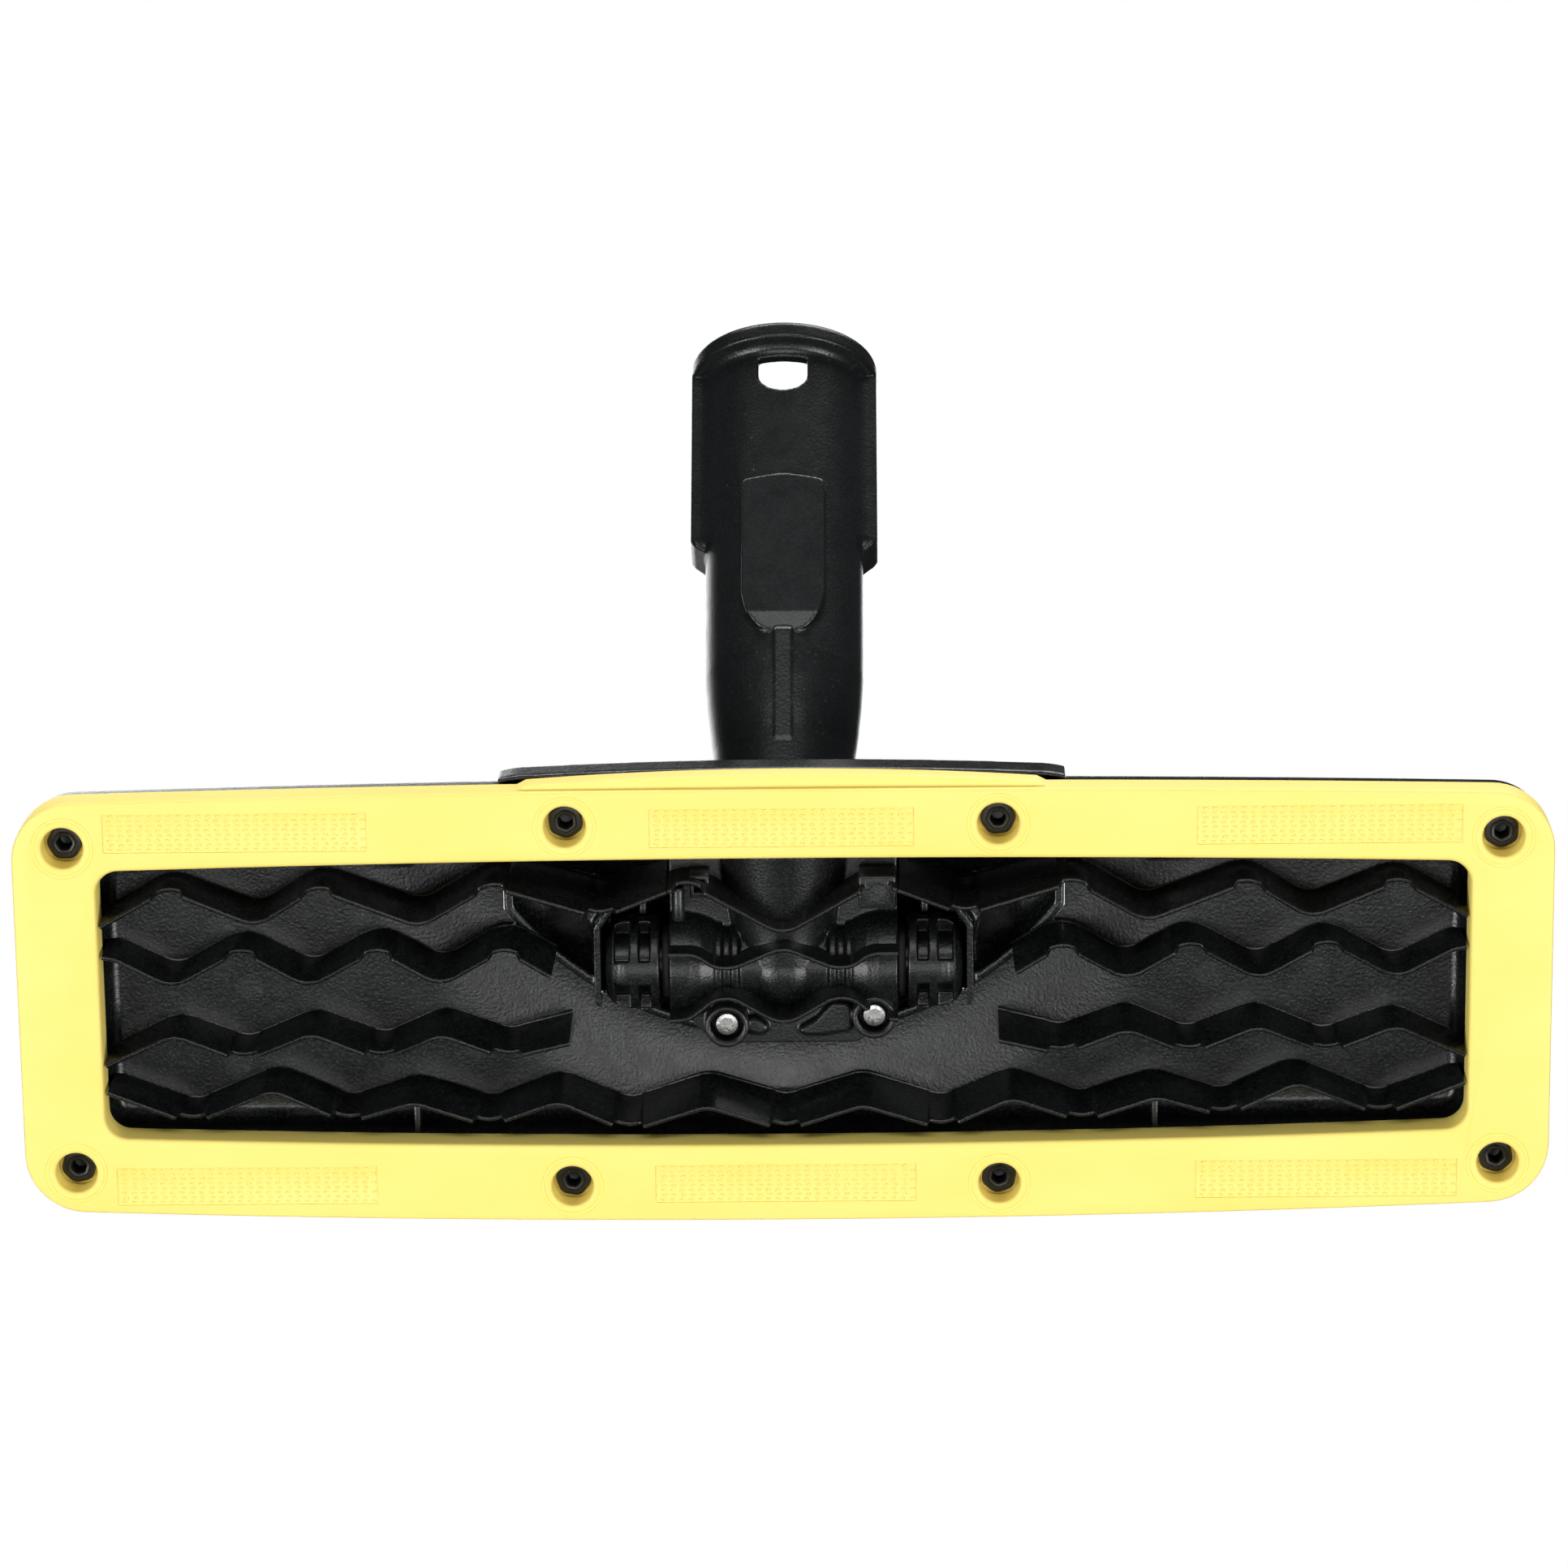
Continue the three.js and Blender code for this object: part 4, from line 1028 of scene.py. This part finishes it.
cup = turned([(8.7, 46.9), (10.5, 46.9), (10.6, 47.1), (10.6, 51.3), (10.4, 51.5), (6.4, 51.5), (6.2, 51.3),
              (6.2, 50.2), (6.4, 50), (8.3, 50), (8.6, 49.7), (8.6, 47), (8.7, 46.9)], 72)
piece(cup, "steam_cup_seal_look", IN_NECK, "neck", "seal_rubber", RUBBER, "steam_cup_seal")

spigot = turned([
    (2.6, 60), (4.8, 60), (4.8, 70.3), (8.4, 70.3), (8.5, 70.4), (8.5, 72.1), (8.2, 72.3), (5.5, 72.4),
    (5, 73), (5, 94), (3.9, 94.1), (3.9, 96.9), (5, 97), (5, 98.8), (4.4, 99.7), (3.8, 100), (2.8, 100),
    (2.6, 99.8), (2.6, 60),
], 72)
piece(spigot, "steam_spigot_look", IN_NECK, "neck", "spigot_white", PALE, "steam_spigot")
ring = make_ring(5.2, 0.93, 95.5, "z")
piece(ring, "spigot_seal_look", IN_NECK, "neck", "seal_rubber", RUBBER, "spigot_seal")

# ---- Neck ------------------------------------------------------------------------------------------

NECK_END = 136.6


def fin(side):
    """A flat-faced rib beside the tube, with a flared root and a scooped lower end."""
    profile = [(8, 3.5), (18.6, 3.5), (19.0, 3.3), (19.1, 2.9), (19.1, -6.4), (18.5, -7.0), (8, -7.0)]
    rings = []
    for s in np.linspace(90.6, 133.6, 43):
        near = max(0.0, 1 - (s - 90.6) / 2.6)
        rings.append([(side * (x - max(0, x - 15.6) * near), y, s) for x, y in profile])
    flare = [
        (13, 7), (14.6, 6.95), (15.2, 5.9), (16.0, 4.9), (17.0, 4.1), (18.3, 3.55), (18.3, -7), (16.6, -7.6),
        (14.6, -8.6), (10, -8),
    ]
    root = []
    for s in np.linspace(90.7, 133.4, 43):
        near = max(0.0, 1 - (s - 90.7) / 2.8)
        root.append([(side * (x - max(0, x - 14.4) * near), y, s) for x, y in flare])
    return join(skin(rings), skin(root))


def make_neck():
    tube = turned([
        (0, 22), (11.8, 22), (12.3, 22.5), (13.3, 32), (14.35, 45), (15.0, 50), (15.6, 56), (16, 62),
        (16.2, 130.6), (16.5, 131.5), (17.4, 132.3), (18.8, 132.8), (19.2, 133.1), (19.2, 135.6),
        (18.9, 136.3), (18.2, NECK_END), (0, NECK_END),
    ], 160)
    room = turned([
        (0, 70), (13.6, 70), (13.8, 134), (13.85, 136.3), (14.2, NECK_END), (14.2, 138), (0, 138),
    ], 120)
    line = [
        (-4.4, 65.6), (4.4, 65.6), (7.4, 69.5), (8.4, 74), (8.4, 100.2, 1.4), (0, 101.9, 30),
        (-8.4, 100.2, 1.4), (-8.4, 74), (-7.4, 69.5),
    ]
    pad = prism(rounded(line, 5), 9, 17.2, "y")
    slope = prism([(14.5, 60), (21, 60), (21, 70.5), (17.5, 70.5)], -12, 12, "x")
    pad = bevelled(cut(pad, slope), 0.7, 2, 50)
    stem = prism([(10, 42), (14.2, 42), (16.85, 66), (10, 66)], -1.85, 1.85, "x")
    whole = join(tube, fin(1), fin(-1), pad, bevelled(stem, 0.4, 2, 50))
    catch = [(-5, 129.8, 0.5), (-5, 126, 0)]
    catch += [(5 * math.cos(math.pi * (1 + i / 24)), 126 + 4 * math.sin(math.pi * (1 + i / 24)), 0)
              for i in range(1, 24)]
    catch += [(5, 126, 0), (5, 129.8, 0.5)]
    pin_end = cut(box((-30, 30), (-30, 30), (0, PIN_S)), rod(10, -40, 40, (0, 0, PIN_S), "y", 0, 96))
    carved = cut(
        whole,
        room,
        rod(5.4, 63, 71, edge=0),
        rod(11, 46, 64, edge=0, sides=96),
        box((-30, 30), (-6.5, 6.5), (0, PIN_S)),
        rod(11.4, -6.5, 6.5, (0, 0, PIN_S), "y", 0, 96),
        rod(8.5, PIN_S, 47, edge=0, sides=72),
        pin_end,
        rod(4.8, -30, 30, (0, 0, PIN_S), "y", 0, 72),
        prism(rounded(catch, 0), 9, 25, "y"),
    )
    return moulded(carved, 0.28, 3)


piece(make_neck(), "neck_tube_look", IN_NECK, "neck", "neck_black", NECK_BLACK, "neck_tube", sharp=0)

# ---- Stage, light and camera --------------------------------------------------------------------


def make_floor():
    """A pale floor that is seen from above only, so that the sole can be seen from below."""
    mesh = bpy.data.meshes.new("floor")
    reach = 3
    mesh.from_pydata([(-reach, -reach, 0), (reach, -reach, 0), (reach, reach, 0), (-reach, reach, 0)], [],
                     [(0, 1, 2, 3)])
    floor = bpy.data.objects.new("floor", mesh)
    bpy.context.scene.collection.objects.link(floor)
    floor.location.z = -0.0002
    look = Look("floor_paint")
    tone = look.blended(look.ranged(look.noise(0.15, 4), 0.3, 0.7), (0.8, 0.8, 0.8), (0.86, 0.86, 0.86))
    look.link(tone, look.shader.inputs["Base Color"])
    look.shader.inputs["Roughness"].default_value = 0.8
    clear = look.add("ShaderNodeBsdfTransparent")
    mix = look.add("ShaderNodeMixShader")
    look.link(look.add("ShaderNodeNewGeometry").outputs["Backfacing"], mix.inputs["Fac"])
    look.link(look.shader.outputs["BSDF"], mix.inputs[1])
    look.link(clear.outputs["BSDF"], mix.inputs[2])
    look.link(mix.outputs["Shader"], look.tree.nodes["Material Output"].inputs["Surface"])
    mesh.materials.append(look.material)
    floor.visible_diffuse = False
    floor.visible_glossy = False
    floor.visible_transmission = False
    floor.visible_shadow = False


def make_world():
    """White to the camera, and a dimmer even light to the object."""
    world = bpy.data.worlds.new("studio")
    bpy.context.scene.world = world
    world.use_nodes = True
    tree = world.node_tree
    back = tree.nodes["Background"]
    seen = tree.nodes.new("ShaderNodeBackground")
    seen.inputs["Color"].default_value = (1, 1, 1, 1)
    back.inputs["Color"].default_value = (0.93, 0.96, 1, 1)
    back.inputs["Strength"].default_value = 0.05
    rays = tree.nodes.new("ShaderNodeLightPath")
    mix = tree.nodes.new("ShaderNodeMixShader")
    tree.links.new(rays.outputs["Is Camera Ray"], mix.inputs["Fac"])
    tree.links.new(back.outputs["Background"], mix.inputs[1])
    tree.links.new(seen.outputs["Background"], mix.inputs[2])
    tree.links.new(mix.outputs["Shader"], tree.nodes["World Output"].inputs["Surface"])


def make_light(name, place, target, size, power):
    data = bpy.data.lights.new(name, "AREA")
    data.shape = "RECTANGLE"
    data.size, data.size_y = size
    data.energy = power
    light = bpy.data.objects.new(name, data)
    bpy.context.scene.collection.objects.link(light)
    light.location = place
    light.rotation_euler = (Vector(target) - Vector(place)).to_track_quat("-Z", "Y").to_euler()


make_floor()
make_world()
make_light("below_middle", (0.0, -0.1, -0.95), (0, 0, 0), (0.34, 0.16), 1.1)
make_light("below_left", (0.75, -0.15, -0.85), (0, 0, 0), (0.45, 0.5), 8.2)
make_light("below_right", (-0.75, -0.15, -0.85), (0, 0, 0), (0.45, 0.5), 8.2)
make_light("below_neck", (0.0, 0.82, -0.82), (0, 0.04, 0.03), (1.2, 0.3), 5)
make_light("behind", (0.0, 1.0, 0.52), (0, 0.04, 0), (1.4, 0.3), 13)
make_light("above", (0.3, -0.4, 1.3), (0, 0, 0), (1.2, 1.2), 14)
make_light("above_rear", (-0.5, 0.9, 0.8), (0, 0, 0.03), (0.8, 0.8), 6)

camera = bpy.data.objects.new("camera", bpy.data.cameras.new("camera"))
bpy.context.scene.collection.objects.link(camera)
camera.location = (-0.01971, 0.32103, -1.13567)
camera.rotation_euler = [math.radians(a) for a in (164.590, -0.765, -179.286)]
camera.data.lens = 139.75
camera.data.sensor_width = 36
bpy.context.scene.camera = camera
bpy.context.scene.view_settings.view_transform = "Standard"
